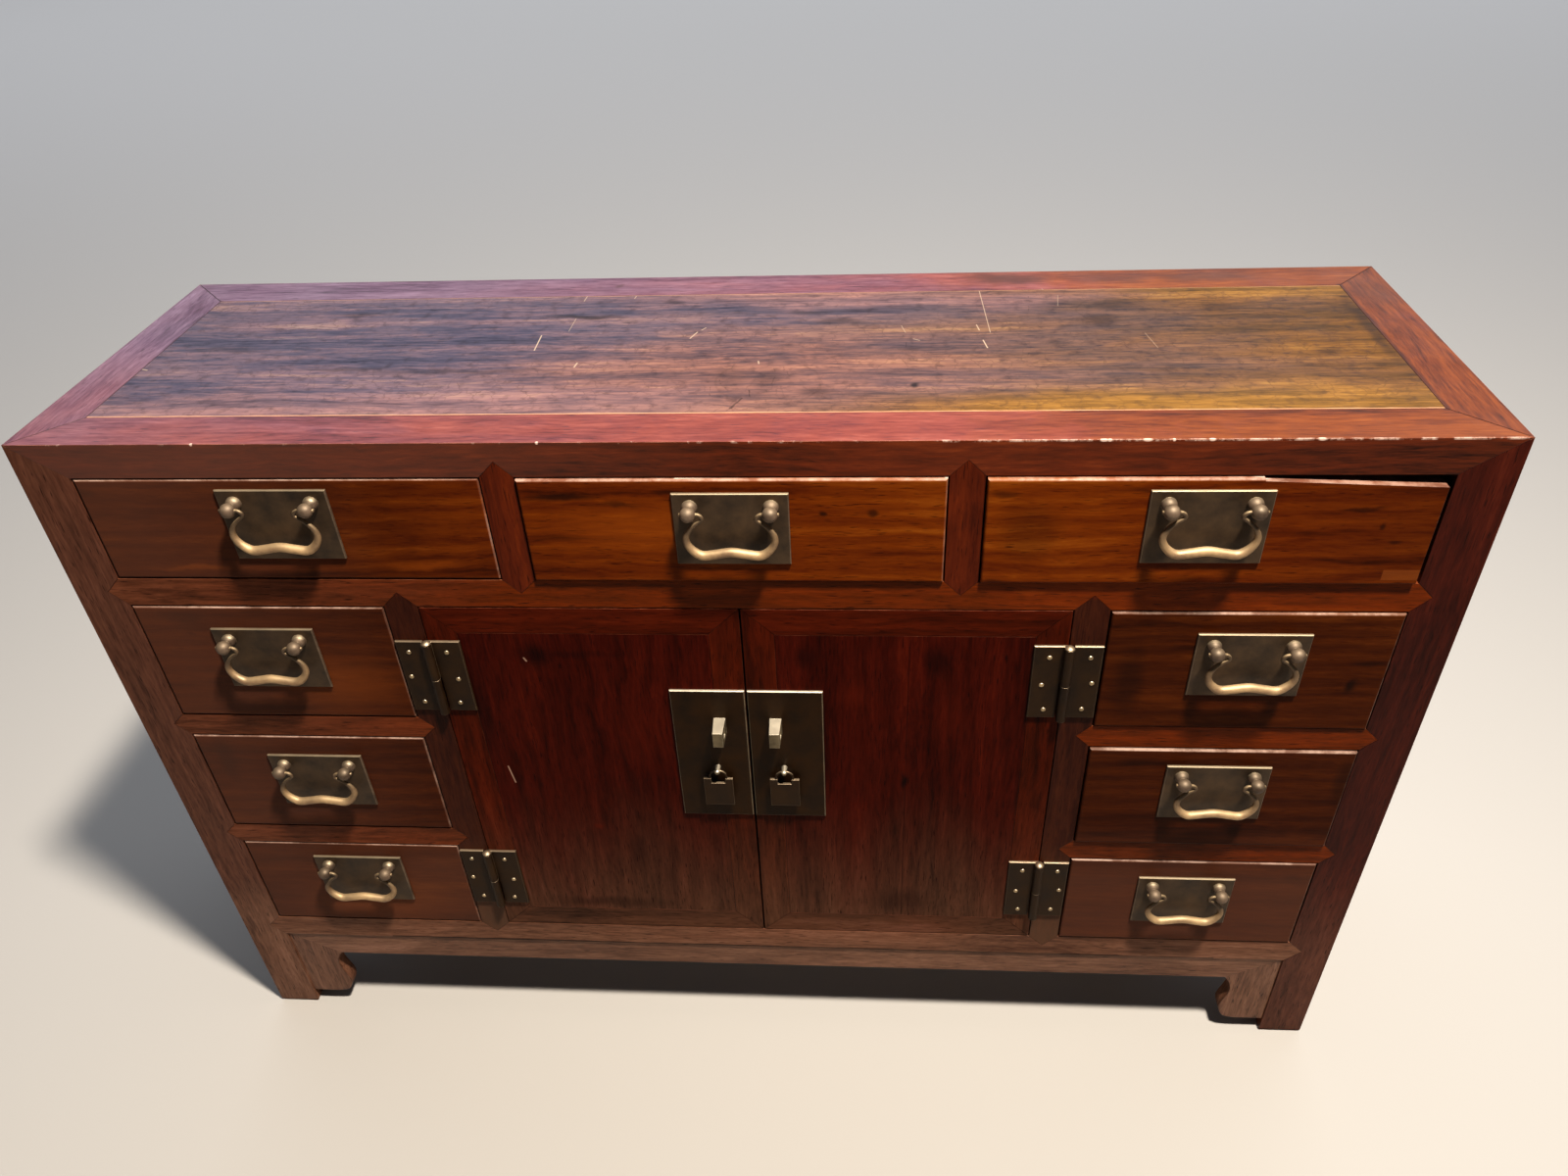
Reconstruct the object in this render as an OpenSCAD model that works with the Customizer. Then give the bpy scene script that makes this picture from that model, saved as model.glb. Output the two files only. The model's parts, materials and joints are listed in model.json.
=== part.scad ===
// A low Chinese sideboard: nine drawers round a two-door cupboard, in a mitred wooden frame.
// Lengths are in millimetres. The origin is on the floor under the middle of the whole piece,
// +X runs to the right, +Z up, and the front faces -Y.

/* [Case] */
// Width over the legs
case_w = 1400; // [1320:10:1560]
// Depth from the front faces of the legs to the back faces
case_d = 402; // [380:2:460]
// Height from the floor to the top
case_h = 895; // [870:5:950]
// Width of a leg seen from the front
leg_w = 53; // [46:1:60]
// Depth of a leg seen from the side
leg_d = 55; // [48:1:64]
// Height of the bottom rail above the floor
foot_h = 152; // [140:1:170]
// Height of the rails round the top
top_rail_h = 37; // [34:1:46]
// Height of the rail under the top drawers
mid_rail_h = 34; // [32:1:44]
// Height of the rail along the bottom
bottom_rail_h = 36; // [32:1:46]
// Height of the short rails between the side drawers
small_rail_h = 30; // [24:1:36]
// Thickness of the rails and uprights from front to back
rail_d = 36; // [33:1:42]
// Width of the rails along the bottom of the two sides
side_rail_w = 36; // [28:1:42]
// Corner worn off round the foot of each leg
foot_wear = 3; // [1:0.5:6]

/* [Front layout] */
// How far the middle of the front lies to the left of the middle of the case
front_shift = 4.5; // [0:0.5:8]
// Height of the openings for the top drawers
top_row_h = 120; // [104:2:140]
// Width of the opening for the middle top drawer
middle_drawer_w = 408; // [360:4:450]
// Width of the uprights between the top drawers
top_divider_w = 33; // [26:1:33]
// Width of the cupboard opening
cupboard_w = 667; // [600:5:720]
// Width of the uprights beside the doors
door_divider_w = 35; // [30:1:36]
// How much taller each row of side drawers is than the row below it
row_growth = 3.5; // [0:0.5:8]

/* [Joinery] */
// Hairline between two pieces of wood that are fitted together
seam = 0.25; // [0.1:0.05:0.4]
// Thickness of the pointed shoulders on the ends of the rails and uprights
shoulder_t = 11; // [8:1:13]
// Thickness of the tenons
tenon_t = 10; // [6:1:12]
// Shoulder above and below each tenon
tenon_edge = 5; // [3:0.5:8]
// Wood between a tenon and the shoulder or face in front of it
tenon_set = 3; // [1:0.5:4]
// Length of the tenons that enter the legs from the front and back rails
leg_tenon = 28; // [16:1:32]
// Length of the other tenons
short_tenon = 12; // [8:1:15]
// Side of the square tenons on top of the legs
top_tenon_w = 12; // [8:1:14]
// Wood between those tenons and the inner faces of the legs
top_tenon_in = 10; // [9:0.5:14]
// Wood over those tenons
top_tenon_cover = 10; // [8:0.5:14]
// How far the edge of a panel runs into its groove
tongue = 8; // [5:1:10]

/* [Panels] */
// Thickness of the top panel
top_panel_t = 12; // [11:0.5:16]
// Thickness of the tongue round the top panel and the door panels
tongue_t = 6; // [4:0.5:7]
// Width of the battens under the top panel
batten_w = 30; // [20:1:40]
// Thickness of the battens under the top panel
batten_t = 18; // [12:1:22]
// Thickness of the side and back panels
wall_t = 10; // [8:0.5:12]
// How far the side and back panels lie inside the faces of the legs
wall_set = 6; // [4:0.5:10]
// Thickness of the base board
base_t = 14; // [10:0.5:18]
// How far the base board lies below the top of the bottom rail
base_drop = 4; // [2:0.5:6]
// Thickness of the two partitions beside the cupboard
partition_t = 12; // [10:0.5:16]

/* [Apron] */
// Height of the underside of the aprons above the floor
apron_low = 111; // [96:1:122]
// Gap between an apron and the rail over it
apron_gap = 2; // [1:0.5:4]
// Thickness of the aprons and brackets
apron_t = 18; // [12:1:24]
// How far the aprons lie inside the faces of the legs
apron_set = 2; // [1:0.5:8]
// Reach of a bracket from its leg
bracket_w = 60; // [44:1:72]
// Height of a bracket's underside above the floor
bracket_low = 24; // [14:1:34]
// Length of the tongues that hold the brackets in the legs
apron_tongue = 6; // [3:0.5:8]
// Shoulder above and below those tongues
apron_edge = 10; // [6:1:16]

/* [Doors] */
// Thickness of the door frames
door_t = 22; // [20:1:26]
// Width of the door frame members
door_frame_w = 33; // [28:1:42]
// Thickness of the door panels
door_panel_t = 13; // [11:0.5:16]
// Gap at the hinge edge of a door
door_gap = 1.2; // [1:0.1:1.8]
// Gap above and below a door
door_gap_v = 1.5; // [1:0.1:2.5]
// Gap between the two doors
meeting_gap = 2; // [1.8:0.1:3]
// Thickness of the hidden tenons in the mitres of the door frames
door_tenon_t = 5; // [3:0.5:7]
// Wood between those tenons and the back of a door
door_tenon_set = 3; // [2:0.5:4]
// Wood between those tenons and the outer edges of a door
door_tenon_cover = 9; // [6:0.5:12]

/* [Drawers] */
// Thickness of the drawer fronts
front_t = 20; // [17:1:24]
// Gap round the drawer fronts
front_gap = 1.5; // [1:0.1:2.5]
// Rounding of the front edges of the drawer fronts
edge_round = 2.5; // [1:0.5:5]
// Distance of the drawer backs behind the face of the case
drawer_back = 350; // [300:2:356]
// Thickness of the drawer sides and backs
drawer_side_t = 12; // [9:0.5:15]
// Thickness of the drawer bottoms
drawer_bottom_t = 8; // [6:0.5:10]
// Height of a drawer bottom above the lower edge of the sides
bottom_rise = 6; // [3:0.5:9]
// Depth of the grooves that hold the drawer bottoms
bottom_groove = 4; // [3:0.5:6]
// How far the drawer sides stay below the top of their opening
side_drop = 12; // [8:1:16]
// Number of dovetails at each corner of a drawer
tail_count = 3; // [2:1:5]
// Length of the front dovetails, which stay hidden behind the face
tail_l = 12; // [6:0.5:13]
// Share of the spacing that a dovetail takes at its root
tail_share = 0.5; // [0.3:0.05:0.6]
// How fast the dovetails widen, in mm for each mm of length
tail_slope = 0.16; // [0.1:0.02:0.25]
// Gap between a drawer's sides and its opening
side_gap = 1.5; // [1:0.1:2.5]
// Running gap under the drawer sides
run_gap = 0.3; // [0.2:0.05:0.5]
// Height of the runners under the drawers
runner_h = 16; // [10:1:20]
// Width of the runners under a drawer side
runner_w = 24; // [16:1:30]
// Height of the guides beside the drawers
guide_h = 20; // [12:1:28]
// How far the top edge of the top right drawer front is worn down at its right end
worn_drop = 9; // [0.5:0.5:12]
// How far that wear runs along the top edge
worn_run = 165; // [60:5:260]
// Depth of the chip where that wear starts
worn_chip = 2; // [0.5:0.5:4]
// How much that drawer is short of its opening on the right
worn_side = 4; // [0.5:0.5:6]

/* [Drawer pulls] */
// Width of a pull plate
plate_w = 111; // [100:1:124]
// Height of a pull plate
plate_h = 80; // [74:1:92]
// Thickness of all the metal plates
plate_t = 3; // [2:0.25:4]
// Hairline between a plate and the posts that press on it
seat_gap = 0.1; // [0.05:0.05:0.3]
// Bevel round the metal plates
plate_bevel = 0.8; // [0.3:0.1:1.5]
// Distance between the two posts of a pull
post_spacing = 77; // [70:1:84]
// Height of the posts below the top of the plate
post_drop = 14; // [11:0.5:18]
// Diameter of the balls on the posts
ball_d = 15; // [12:0.5:17]
// Distance of the middle of a ball from the wood
ball_reach = 17; // [15.5:0.5:20]
// Diameter of the neck behind a ball
neck_d = 8; // [6:0.5:9]
// Diameter of the shank through the drawer front
shank_d = 5; // [4:0.5:6]
// Gap round the shanks in their holes
shank_gap = 0.15; // [0.1:0.05:0.3]
// Diameter of the washer on the shank behind the front
washer_d = 14; // [11:0.5:18]
// Thickness of that washer
washer_t = 1.5; // [1:0.25:2.5]
// Diameter of a bail where it turns in the balls
bail_pin_d = 4; // [3:0.25:5]
// Running gap round the turning ends of the bails
pivot_gap = 0.08; // [0.04:0.01:0.1]
// Diameter of the grip of a bail
bail_d = 9.2; // [7:0.1:9.6]
// Diameter of the thin arms of a bail
bail_neck_d = 3.1; // [2.6:0.1:3.6]
// Height of the grip below the pivots
bail_drop = 46; // [42:0.5:52]
// How far the ends of a bail show outside the balls
bail_tip = 1.3; // [0.5:0.1:3]

/* [Hinges] */
// Height of a hinge
hinge_h = 97; // [80:1:110]
// Width of a hinge leaf, from the middle of the barrel
hinge_leaf_w = 35; // [26:0.5:35]
// Diameter of the hinge barrels
barrel_d = 10.5; // [9:0.25:11]
// Distance of the middle of the barrel in front of the face
barrel_reach = 6; // [5.8:0.1:7]
// Diameter of the hinge pins
hinge_pin_d = 5; // [4:0.25:5.2]
// Clearance between a knuckle and what turns beside it
knuckle_gap = 0.4; // [0.3:0.05:0.8]
// Height of the rounded head of a hinge pin
pin_head_h = 2.5; // [1.5:0.25:4]
// Height of the hinges above and below the middle of the doors
hinge_spread = 165; // [120:5:190]

/* [Door plates] */
// Width of a lock plate
lock_w = 81; // [70:1:96]
// Height of a lock plate
lock_h = 191; // [176:1:220]
// Height of the middle of the lock plates above the middle of the doors
lock_rise = 53; // [30:1:70]
// Distance of the lock plates from the meeting edges of the doors
lock_inset = 0.3; // [0.1:0.1:2]
// Distance of a lock post from the meeting edge of its door
staple_in = 29.5; // [22:0.5:40]
// Height of the lock posts above the middle of the lock plate
staple_rise = 46; // [36:1:60]
// Reach of a lock post in front of the door
staple_reach = 27; // [24:0.5:32]
// Width of a lock post at its root
staple_w = 13; // [10:0.5:16]
// Height of a lock post at its root
staple_h = 22; // [18:0.5:26]
// How much narrower and lower a lock post gets towards its front
staple_taper = 2.2; // [1:0.1:3]
// Size of the slot for the lock bar, from front to back
slot_d = 8; // [5:0.5:10]
// Height of the slot for the lock bar
slot_h = 11; // [6:0.5:13]
// Distance of an eye pin from the inner edge of its door's frame
eye_in = 3.5; // [3.5:0.5:10]
// Depth of the eye pins below the middle of the lock plate
eye_drop = 17; // [8:1:30]
// Reach of an eye pin in front of the door
eye_reach = 15; // [13.5:0.5:18]
// Diameter of the eye pins
eye_d = 6.5; // [6:0.25:8]
// Diameter of an eye pin's shank through the door
eye_shank_d = 4; // [3:0.25:5]
// Diameter of the riveted end of that shank
eye_rivet_d = 5.5; // [4.5:0.25:6]
// Distance of the eye in front of the door
eye_out = 9.5; // [8:0.25:10]
// Diameter of the wire that carries a pull tab
wire_d = 2.4; // [2:0.1:2.8]
// Radius of the wire loop, at the middle of the wire
loop_r = 9.5; // [8.5:0.25:11]
// Clearance between a wire loop and its eye
loop_gap = 0.15; // [0.1:0.05:0.3]
// Width of a pull tab
tab_w = 33; // [28:1:40]
// Height of a pull tab
tab_h = 41; // [30:1:50]
// Thickness of a pull tab
tab_t = 3; // [2.6:0.2:4]
// Width of the notch in the top of a pull tab
notch_w = 16; // [13:0.5:16.5]
// Depth of the notch in the top of a pull tab
notch_h = 7; // [4:0.5:12]

/* [Hidden] */
$fn = 32;

// Overlap that makes two shapes of one piece into one solid
bite = 1;

// Outer and inner faces of the legs
x_out = case_w / 2;
x_in = x_out - leg_w;
// Edges of the openings along the front
mid_x = -front_shift;
door_l = mid_x - cupboard_w / 2;
door_r = mid_x + cupboard_w / 2;
side_l = door_l - door_divider_w;
side_r = door_r + door_divider_w;
middle_l = mid_x - middle_drawer_w / 2;
middle_r = mid_x + middle_drawer_w / 2;
// Levels of the rails
z_floor = foot_h + bottom_rail_h;
z_under_top = case_h - top_rail_h;
z_top_row = z_under_top - top_row_h;
z_under_mid = z_top_row - mid_rail_h;
row_h = (z_under_mid - z_floor - 2 * small_rail_h) / 3;
z_rail_1 = z_floor + row_h - row_growth;
z_row_2 = z_rail_1 + small_rail_h;
z_rail_2 = z_row_2 + row_h;
z_row_3 = z_rail_2 + small_rail_h;
z_base = z_floor - base_drop;

// Front rails: left end, right end, underside and height
front_rail_list = [
    [-x_in, x_in, z_under_mid, mid_rail_h],
    [-x_in, x_in, foot_h, bottom_rail_h],
    [-x_in, side_l, z_rail_1, small_rail_h],
    [-x_in, side_l, z_rail_2, small_rail_h],
    [side_r, x_in, z_rail_1, small_rail_h],
    [side_r, x_in, z_rail_2, small_rail_h]
];
// Uprights: middle, width, lower end and upper end
divider_list = [
    [middle_l - top_divider_w / 2, top_divider_w, z_top_row, z_under_top],
    [middle_r + top_divider_w / 2, top_divider_w, z_top_row, z_under_top],
    [door_l - door_divider_w / 2, door_divider_w, z_floor, z_under_mid],
    [door_r + door_divider_w / 2, door_divider_w, z_floor, z_under_mid]
];

// Drawer openings in the order of NODES: left, right, bottom and top edge
bays = [
    [-x_in, middle_l - top_divider_w, z_top_row, z_under_top],
    [middle_l, middle_r, z_top_row, z_under_top],
    [middle_r + top_divider_w, x_in, z_top_row, z_under_top],
    [-x_in, side_l, z_row_3, z_under_mid],
    [-x_in, side_l, z_row_2, z_rail_2],
    [-x_in, side_l, z_floor, z_rail_1],
    [side_r, x_in, z_row_3, z_under_mid],
    [side_r, x_in, z_row_2, z_rail_2],
    [side_r, x_in, z_floor, z_rail_1]
];
worn_drawer = 2;
// How far each drawer front stands out of the face of the case
proud = [0.5, 3.5, 4.5, 1, 1, 0.5, 2.5, 3.5, 1.5];
// The metalwork stands in front of the legs, so the case lies a little behind the middle
metal_reach = max(staple_reach, max(proud) + ball_reach + ball_d / 2);
front_y = (metal_reach - case_d) / 2;
// Where each pull was fitted, to the right of and above the middle of its drawer front
pull_at = [[-6, 8], [0, 5], [-3, 8], [-3, 9], [0, 7], [3, 11], [2, 12], [0, 13], [-3, 6]];

// Width between a leg's inner face and the inner face of a side rail
outer_guide = leg_w - side_rail_w;
// Width between an opening and the partition beside it
inner_guide = (door_divider_w - partition_t) / 2;

// Middle of each pull plate on its drawer front
function pull_x(i) = (bays[i][0] + bays[i][1]) / 2 + pull_at[i][0];
function pull_z(i) = (bays[i][2] + bays[i][3]) / 2 + pull_at[i][1];
// Height of the bail pivots above the middle of a plate
pivot_rise = plate_h / 2 - post_drop;
post_x = post_spacing / 2;
// Inner side of a ball
ball_in = post_x - ball_d / 2;

// Half of a bail from the middle of its grip to its pivot: distance from the middle,
// height over the pivot, and thickness from thin arm (0) to full grip (1)
bail_line = [
    [0, -bail_drop * 0.92, 1],
    [post_x * 0.39, -bail_drop * 0.97, 1],
    [post_x - 10.7, -bail_drop, 1],
    [post_x - 2, -bail_drop * 0.88, 0.9],
    [post_x + 3, -bail_drop * 0.71, 0.78],
    [post_x + 3.5, -bail_drop * 0.54, 0.62],
    [post_x - 0.4, -bail_drop * 0.37, 0.36],
    [post_x - 6.3, -bail_drop * 0.235, 0.12],
    [ball_in - 5.2, -6, 0.1],
    [ball_in - 4.3, -2.1, 0.15],
    [ball_in - 1.4, 0, 0.1],
    [ball_in + 1, 0, 0]
];
bail_steps = 2;
bail_sides = 10;

// Bracket outline from the apron round to its underside, in shares of its width and height
bracket_line = [[1.06, 1], [0.93, 0.86], [0.88, 0.65], [1, 0.3], [0.88, 0.06], [0.62, 0]];
bracket_steps = 4;

// Height of the middle of the doors and of their plates
z_door = (z_floor + z_under_mid) / 2;
door_low = z_floor + door_gap_v;
door_high = z_under_mid - door_gap_v;
// Distance from the hinge axis to the meeting edge of a door
door_reach = (cupboard_w - door_gap - meeting_gap) / 2;
z_lock = z_door + lock_rise;
z_staple = z_lock + staple_rise;
z_eye = z_lock - eye_drop;
// Places of the lock post and the eye pin, from the hinge axis and the floor
staple_at = [door_reach - staple_in, 0, z_staple];
eye_at = [door_reach - door_frame_w - eye_in, 0, z_eye];
// Middle of the slot for the lock bar, in front of the door
slot_out = (plate_t + staple_reach) / 2;
// Hole of the eye, with room for the curve of the loop inside it
eye_hole_r = wire_d / 2 + loop_r - sqrt(loop_r * loop_r - eye_d * eye_d / 4) + loop_gap;

// A point on the smooth curve through q and r, whose neighbours are p and s
function on_curve(p, q, r, s, t) =
    (2 * q + (r - p) * t + (2 * p - 5 * q + 4 * r - s) * t * t
        + (3 * q - p - 3 * r + s) * t * t * t) / 2;
// A smooth curve through a list of points
function smooth(list, steps) = concat(
    [for (i = [0:len(list) - 2]) for (k = [0:steps - 1])
        on_curve(list[max(i - 1, 0)], list[i], list[i + 1],
            list[min(i + 2, len(list) - 1)], k / steps)],
    [list[len(list) - 1]]
);

// A box between two corners, larger on every side by grow
module block(low, high, grow = 0) {
    translate(low - grow * [1, 1, 1]) cube(high - low + 2 * grow * [1, 1, 1]);
}

// A front outline pushed back from y0 by length l
module along_y(y0, l) {
    translate([0, y0 + l, 0]) rotate([90, 0, 0]) linear_extrude(l) children();
}

// A side outline pushed to the right from x0 by length l
module along_x(x0, l) {
    translate([x0, 0, 0]) rotate([90, 0, 90]) linear_extrude(l) children();
}

// A plan outline raised from z0 by length l
module along_z(z0, l) {
    translate([0, 0, z0]) linear_extrude(l) children();
}

// Two copies, the second one mirrored to the other side of the case
module both_sides() {
    children();
    mirror([1, 0, 0]) children();
}

// Everything is drawn with its face at y = 0 and then moved to its place in depth
module in_place() {
    translate([0, front_y, 0]) children();
}

// Pointed shoulder with a tenon behind it, at a rail end that points to +X.
// With grow it is the pocket that receives them.
module pointed_end(half, tenon_l, grow = 0) {
    tip = half + grow * sqrt(2);
    lead = grow > 0 ? bite : 0;
    tenon_y = shoulder_t + tenon_set;
    along_y(-lead, shoulder_t + grow + lead)
        polygon([[-bite, -tip], [0, -tip], [tip, 0], [0, tip], [-bite, tip]]);
    block([-bite, tenon_y, tenon_edge - half],
        [tenon_l, tenon_y + tenon_t, half - tenon_edge], grow);
}

// Both ends of a front rail, or their pockets
module rail_ends(r, grow = 0) {
    half = r[3] / 2;
    translate([r[1], 0, r[2] + half])
        pointed_end(half, r[1] == x_in ? leg_tenon : short_tenon, grow);
    translate([r[0], 0, r[2] + half]) mirror([1, 0, 0])
        pointed_end(half, r[0] == -x_in ? leg_tenon : short_tenon, grow);
}

// Both ends of an upright, or their pockets
module divider_ends(d, grow = 0) {
    translate([d[0], 0, d[3]]) rotate([0, -90, 0]) pointed_end(d[1] / 2, short_tenon, grow);
    translate([d[0], 0, d[2]]) rotate([0, 90, 0]) pointed_end(d[1] / 2, short_tenon, grow);
}

module all_rail_ends(grow) {
    for (r = front_rail_list) rail_ends(r, grow);
}

module all_divider_ends(grow) {
    for (d = divider_list) divider_ends(d, grow);
}

// Long bottom rails of the sides and the two rails across the back, each with plain tenons
module side_rail(grow = 0) {
    inner = side_rail_w - x_out;
    block([-x_out, leg_d, foot_h], [inner, case_d - leg_d, z_floor]);
    block([inner - tenon_set - tenon_t, leg_d - short_tenon, foot_h + tenon_edge],
        [inner - tenon_set, case_d - leg_d + short_tenon, z_floor - tenon_edge], grow);
}

module back_rail(z0, h, grow = 0) {
    inner = case_d - rail_d;
    block([-x_in, inner, z0], [x_in, case_d, z0 + h]);
    block([-x_in - leg_tenon, inner + tenon_set, z0 + tenon_edge],
        [x_in + leg_tenon, inner + tenon_set + tenon_t, z0 + h - tenon_edge], grow);
}

module back_rails(grow = 0) {
    back_rail(foot_h, bottom_rail_h, grow);
    back_rail(z_under_mid, mid_rail_h, grow);
}

// Panels with the tongues that run into the grooves round them
module top_board(grow = 0) {
    z0 = case_h - top_panel_t;
    block([-x_in - tongue, leg_d - tongue, z0],
        [x_in + tongue, case_d - leg_d + tongue, z0 + tongue_t], grow);
}

module side_board(grow = 0) {
    block([wall_set - x_out, leg_d - tongue, z_floor - tongue],
        [wall_set + wall_t - x_out, case_d - leg_d + tongue, z_under_top + tongue], grow);
}

module back_board(z0, z1, grow = 0) {
    block([-x_in - tongue, case_d - wall_set - wall_t, z0 - tongue],
        [x_in + tongue, case_d - wall_set, z1 + tongue], grow);
}

module back_boards(grow = 0) {
    back_board(z_floor, z_under_mid, grow);
    back_board(z_top_row, z_under_top, grow);
}

// Base board, notched round the legs
module base_plank(grow = 0) {
    difference() {
        block([side_rail_w - x_out - tongue, rail_d - tongue, z_base - base_t],
            [x_out - side_rail_w + tongue, case_d - rail_d + tongue, z_base], grow);
        both_sides() {
            block([-x_out, 0, 0], [-x_in, leg_d, case_h], seam - grow);
            block([-x_out, case_d - leg_d, 0], [-x_in, case_d, case_h], seam - grow);
        }
    }
}

// Square tenon that rises from a leg into both rails of the top frame
module top_tenon(grow = 0) {
    x = -x_in - top_tenon_in;
    y = leg_d - top_tenon_in;
    block([x - top_tenon_w, y - top_tenon_w, z_under_top - bite],
        [x, y, case_h - top_tenon_cover], grow);
}

// The four places of what is drawn at the front left leg
module at_legs() {
    both_sides() {
        children();
        translate([0, case_d, 0]) mirror([0, 1, 0]) children();
    }
}

// Leg with its top cut to the three-way mitre and its foot worn
module leg() {
    top_tenon();
    intersection() {
        along_y(0, leg_d) polygon([[-x_out, foot_wear], [foot_wear - x_out, 0],
            [-x_in - foot_wear, 0], [-x_in, foot_wear], [-x_in, z_under_top], [-x_out, case_h]]);
        along_x(-x_out, leg_w) polygon([[0, foot_wear], [foot_wear, 0],
            [leg_d - foot_wear, 0], [leg_d, foot_wear], [leg_d, z_under_top], [0, case_h]]);
    }
}

module corner_posts() {
    color("#4a2114") in_place() difference() {
        at_legs() leg();
        all_rail_ends(seam);
        all_apron_tongues(seam);
        both_sides() {
            side_rail(seam);
            side_board(seam);
        }
        back_rails(seam);
        back_boards(seam);
    }
}

// Front or back rail of the top, mitred to the end rails and to the legs
module long_top_rail() {
    intersection() {
        along_y(0, leg_d) polygon([[seam - x_out, case_h], [x_out - seam, case_h],
            [x_in - seam, z_under_top], [seam - x_in, z_under_top]]);
        along_z(z_under_top, top_rail_h) polygon([[seam - x_out, 0], [x_out - seam, 0],
            [x_in - seam, leg_d], [seam - x_in, leg_d]]);
    }
}

module end_top_rail() {
    intersection() {
        along_x(-x_out, leg_w) polygon([[seam, case_h], [case_d - seam, case_h],
            [case_d - leg_d - seam, z_under_top], [leg_d + seam, z_under_top]]);
        along_z(z_under_top, top_rail_h) polygon([[-x_out, seam], [-x_out, case_d - seam],
            [-x_in, case_d - leg_d - seam], [-x_in, leg_d + seam]]);
    }
}

module top_frame() {
    color("#5a1f18") in_place() difference() {
        union() {
            long_top_rail();
            translate([0, case_d, 0]) mirror([0, 1, 0]) long_top_rail();
            both_sides() end_top_rail();
        }
        top_board(seam);
        all_divider_ends(seam);
        both_sides() side_board(seam);
        back_boards(seam);
        at_legs() top_tenon(seam);
    }
}

module top_panel() {
    batten_x = x_in / 2;
    color("#7a4a22") in_place() {
        block([seam - x_in, leg_d + seam, case_h - top_panel_t],
            [x_in - seam, case_d - leg_d - seam, case_h]);
        top_board();
    }
    color("#6a4022") in_place() for (x = [-batten_x, 0, batten_x])
        block([x - batten_w / 2, leg_d, case_h - top_panel_t - batten_t],
            [x + batten_w / 2, case_d - leg_d, case_h - top_panel_t]);
}

module front_rails() {
    color("#4a2213") in_place() difference() {
        for (r = front_rail_list) {
            block([r[0], 0, r[2]], [r[1], rail_d, r[2] + r[3]]);
            rail_ends(r);
        }
        all_divider_ends(seam);
        base_plank(seam);
    }
}

module front_dividers() {
    color("#47200f") in_place() difference() {
        for (d = divider_list) {
            block([d[0] - d[1] / 2, 0, d[2]], [d[0] + d[1] / 2, rail_d, d[3]]);
            divider_ends(d);
        }
        all_rail_ends(seam);
    }
}

module side_and_back_rails() {
    color("#4a2a18") in_place() difference() {
        union() {
            both_sides() side_rail();
            back_rails();
        }
        both_sides() side_board(seam);
        back_boards(seam);
        base_plank(seam);
    }
}

module side_panels() {
    color("#4e2a17") in_place() both_sides() side_board();
}

module back_panels() {
    color("#54301c") in_place() back_boards();
}

module base_board() {
    color("#5c3a22") in_place() base_plank();
}

// Partition with its lower back corner cut to pass the back rail
module partition_at(x) {
    color("#5c3a22") in_place() difference() {
        block([x - partition_t / 2, rail_d, z_base],
            [x + partition_t / 2, case_d - wall_set - wall_t, z_under_mid]);
        block([x - partition_t, case_d - rail_d - seam, z_base - bite],
            [x + partition_t, case_d, z_floor + seam]);
    }
}

module partitions() {
    partition_at(door_l - door_divider_w / 2);
    partition_at(door_r + door_divider_w / 2);
}

// Runner and guide at one edge of an opening: dir points into the opening
module runner(x, z, dir, guide, y0, y1) {
    z0 = max(z - runner_h, z_base);
    along_y(y0, y1 - y0) polygon([[x - dir * guide, z0], [x + dir * runner_w, z0],
        [x + dir * runner_w, z], [x, z], [x, z + guide_h], [x - dir * guide, z + guide_h]]);
}

module drawer_runners() {
    color("#6b4a2c") in_place() for (b = bays) {
        at_left = b[0] == -x_in;
        at_right = b[1] == x_in;
        between = b[2] == z_top_row ? top_divider_w / 2 : inner_guide;
        runner(b[0], b[2], 1, at_left ? outer_guide : between,
            at_left ? leg_d : rail_d, case_d - (at_left ? leg_d : rail_d));
        runner(b[1], b[2], -1, at_right ? outer_guide : between,
            at_right ? leg_d : rail_d, case_d - (at_right ? leg_d : rail_d));
    }
}

// Apron with a bracket at each end, for a gap of length l between two legs
module apron_between(l) {
    high = foot_h - apron_gap;
    mitre = bracket_line[0][0] * bracket_w;
    edge = [for (p = smooth(bracket_line, bracket_steps))
        [p[0] * bracket_w, bracket_low + p[1] * (apron_low - bracket_low)]];
    along_y(0, apron_t) polygon([[seam - l / 2, high], [l / 2 - seam, high],
        [l / 2 - mitre - seam, apron_low], [mitre + seam - l / 2, apron_low]]);
    for (side = [0, 1]) mirror([side, 0, 0]) translate([-l / 2, 0, 0]) along_y(0, apron_t)
        polygon(concat([[0, bracket_low], [0, high]], edge));
    apron_tongues(l);
}

// Tongues at both ends of an apron, or their pockets in the legs
module apron_tongues(l, grow = 0) {
    for (side = [0, 1]) mirror([side, 0, 0])
        block([-l / 2 - apron_tongue, apron_t / 3, bracket_low + apron_edge],
            [-l / 2 + bite, apron_t * 2 / 3, foot_h - apron_gap - apron_edge], grow);
}

// Puts an apron drawn for a gap in its place: the front one, and the ones of the two sides
module at_front_apron() {
    translate([0, apron_set, 0]) children();
}

module at_side_aprons() {
    both_sides() translate([apron_set - x_out, case_d / 2, 0]) rotate([0, 0, -90]) children();
}

module all_apron_tongues(grow) {
    at_front_apron() apron_tongues(2 * x_in, grow);
    at_side_aprons() apron_tongues(case_d - 2 * leg_d, grow);
}

module aprons() {
    color("#4d2a1b") in_place() {
        at_front_apron() apron_between(2 * x_in);
        at_side_aprons() apron_between(case_d - 2 * leg_d);
    }
}

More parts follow.
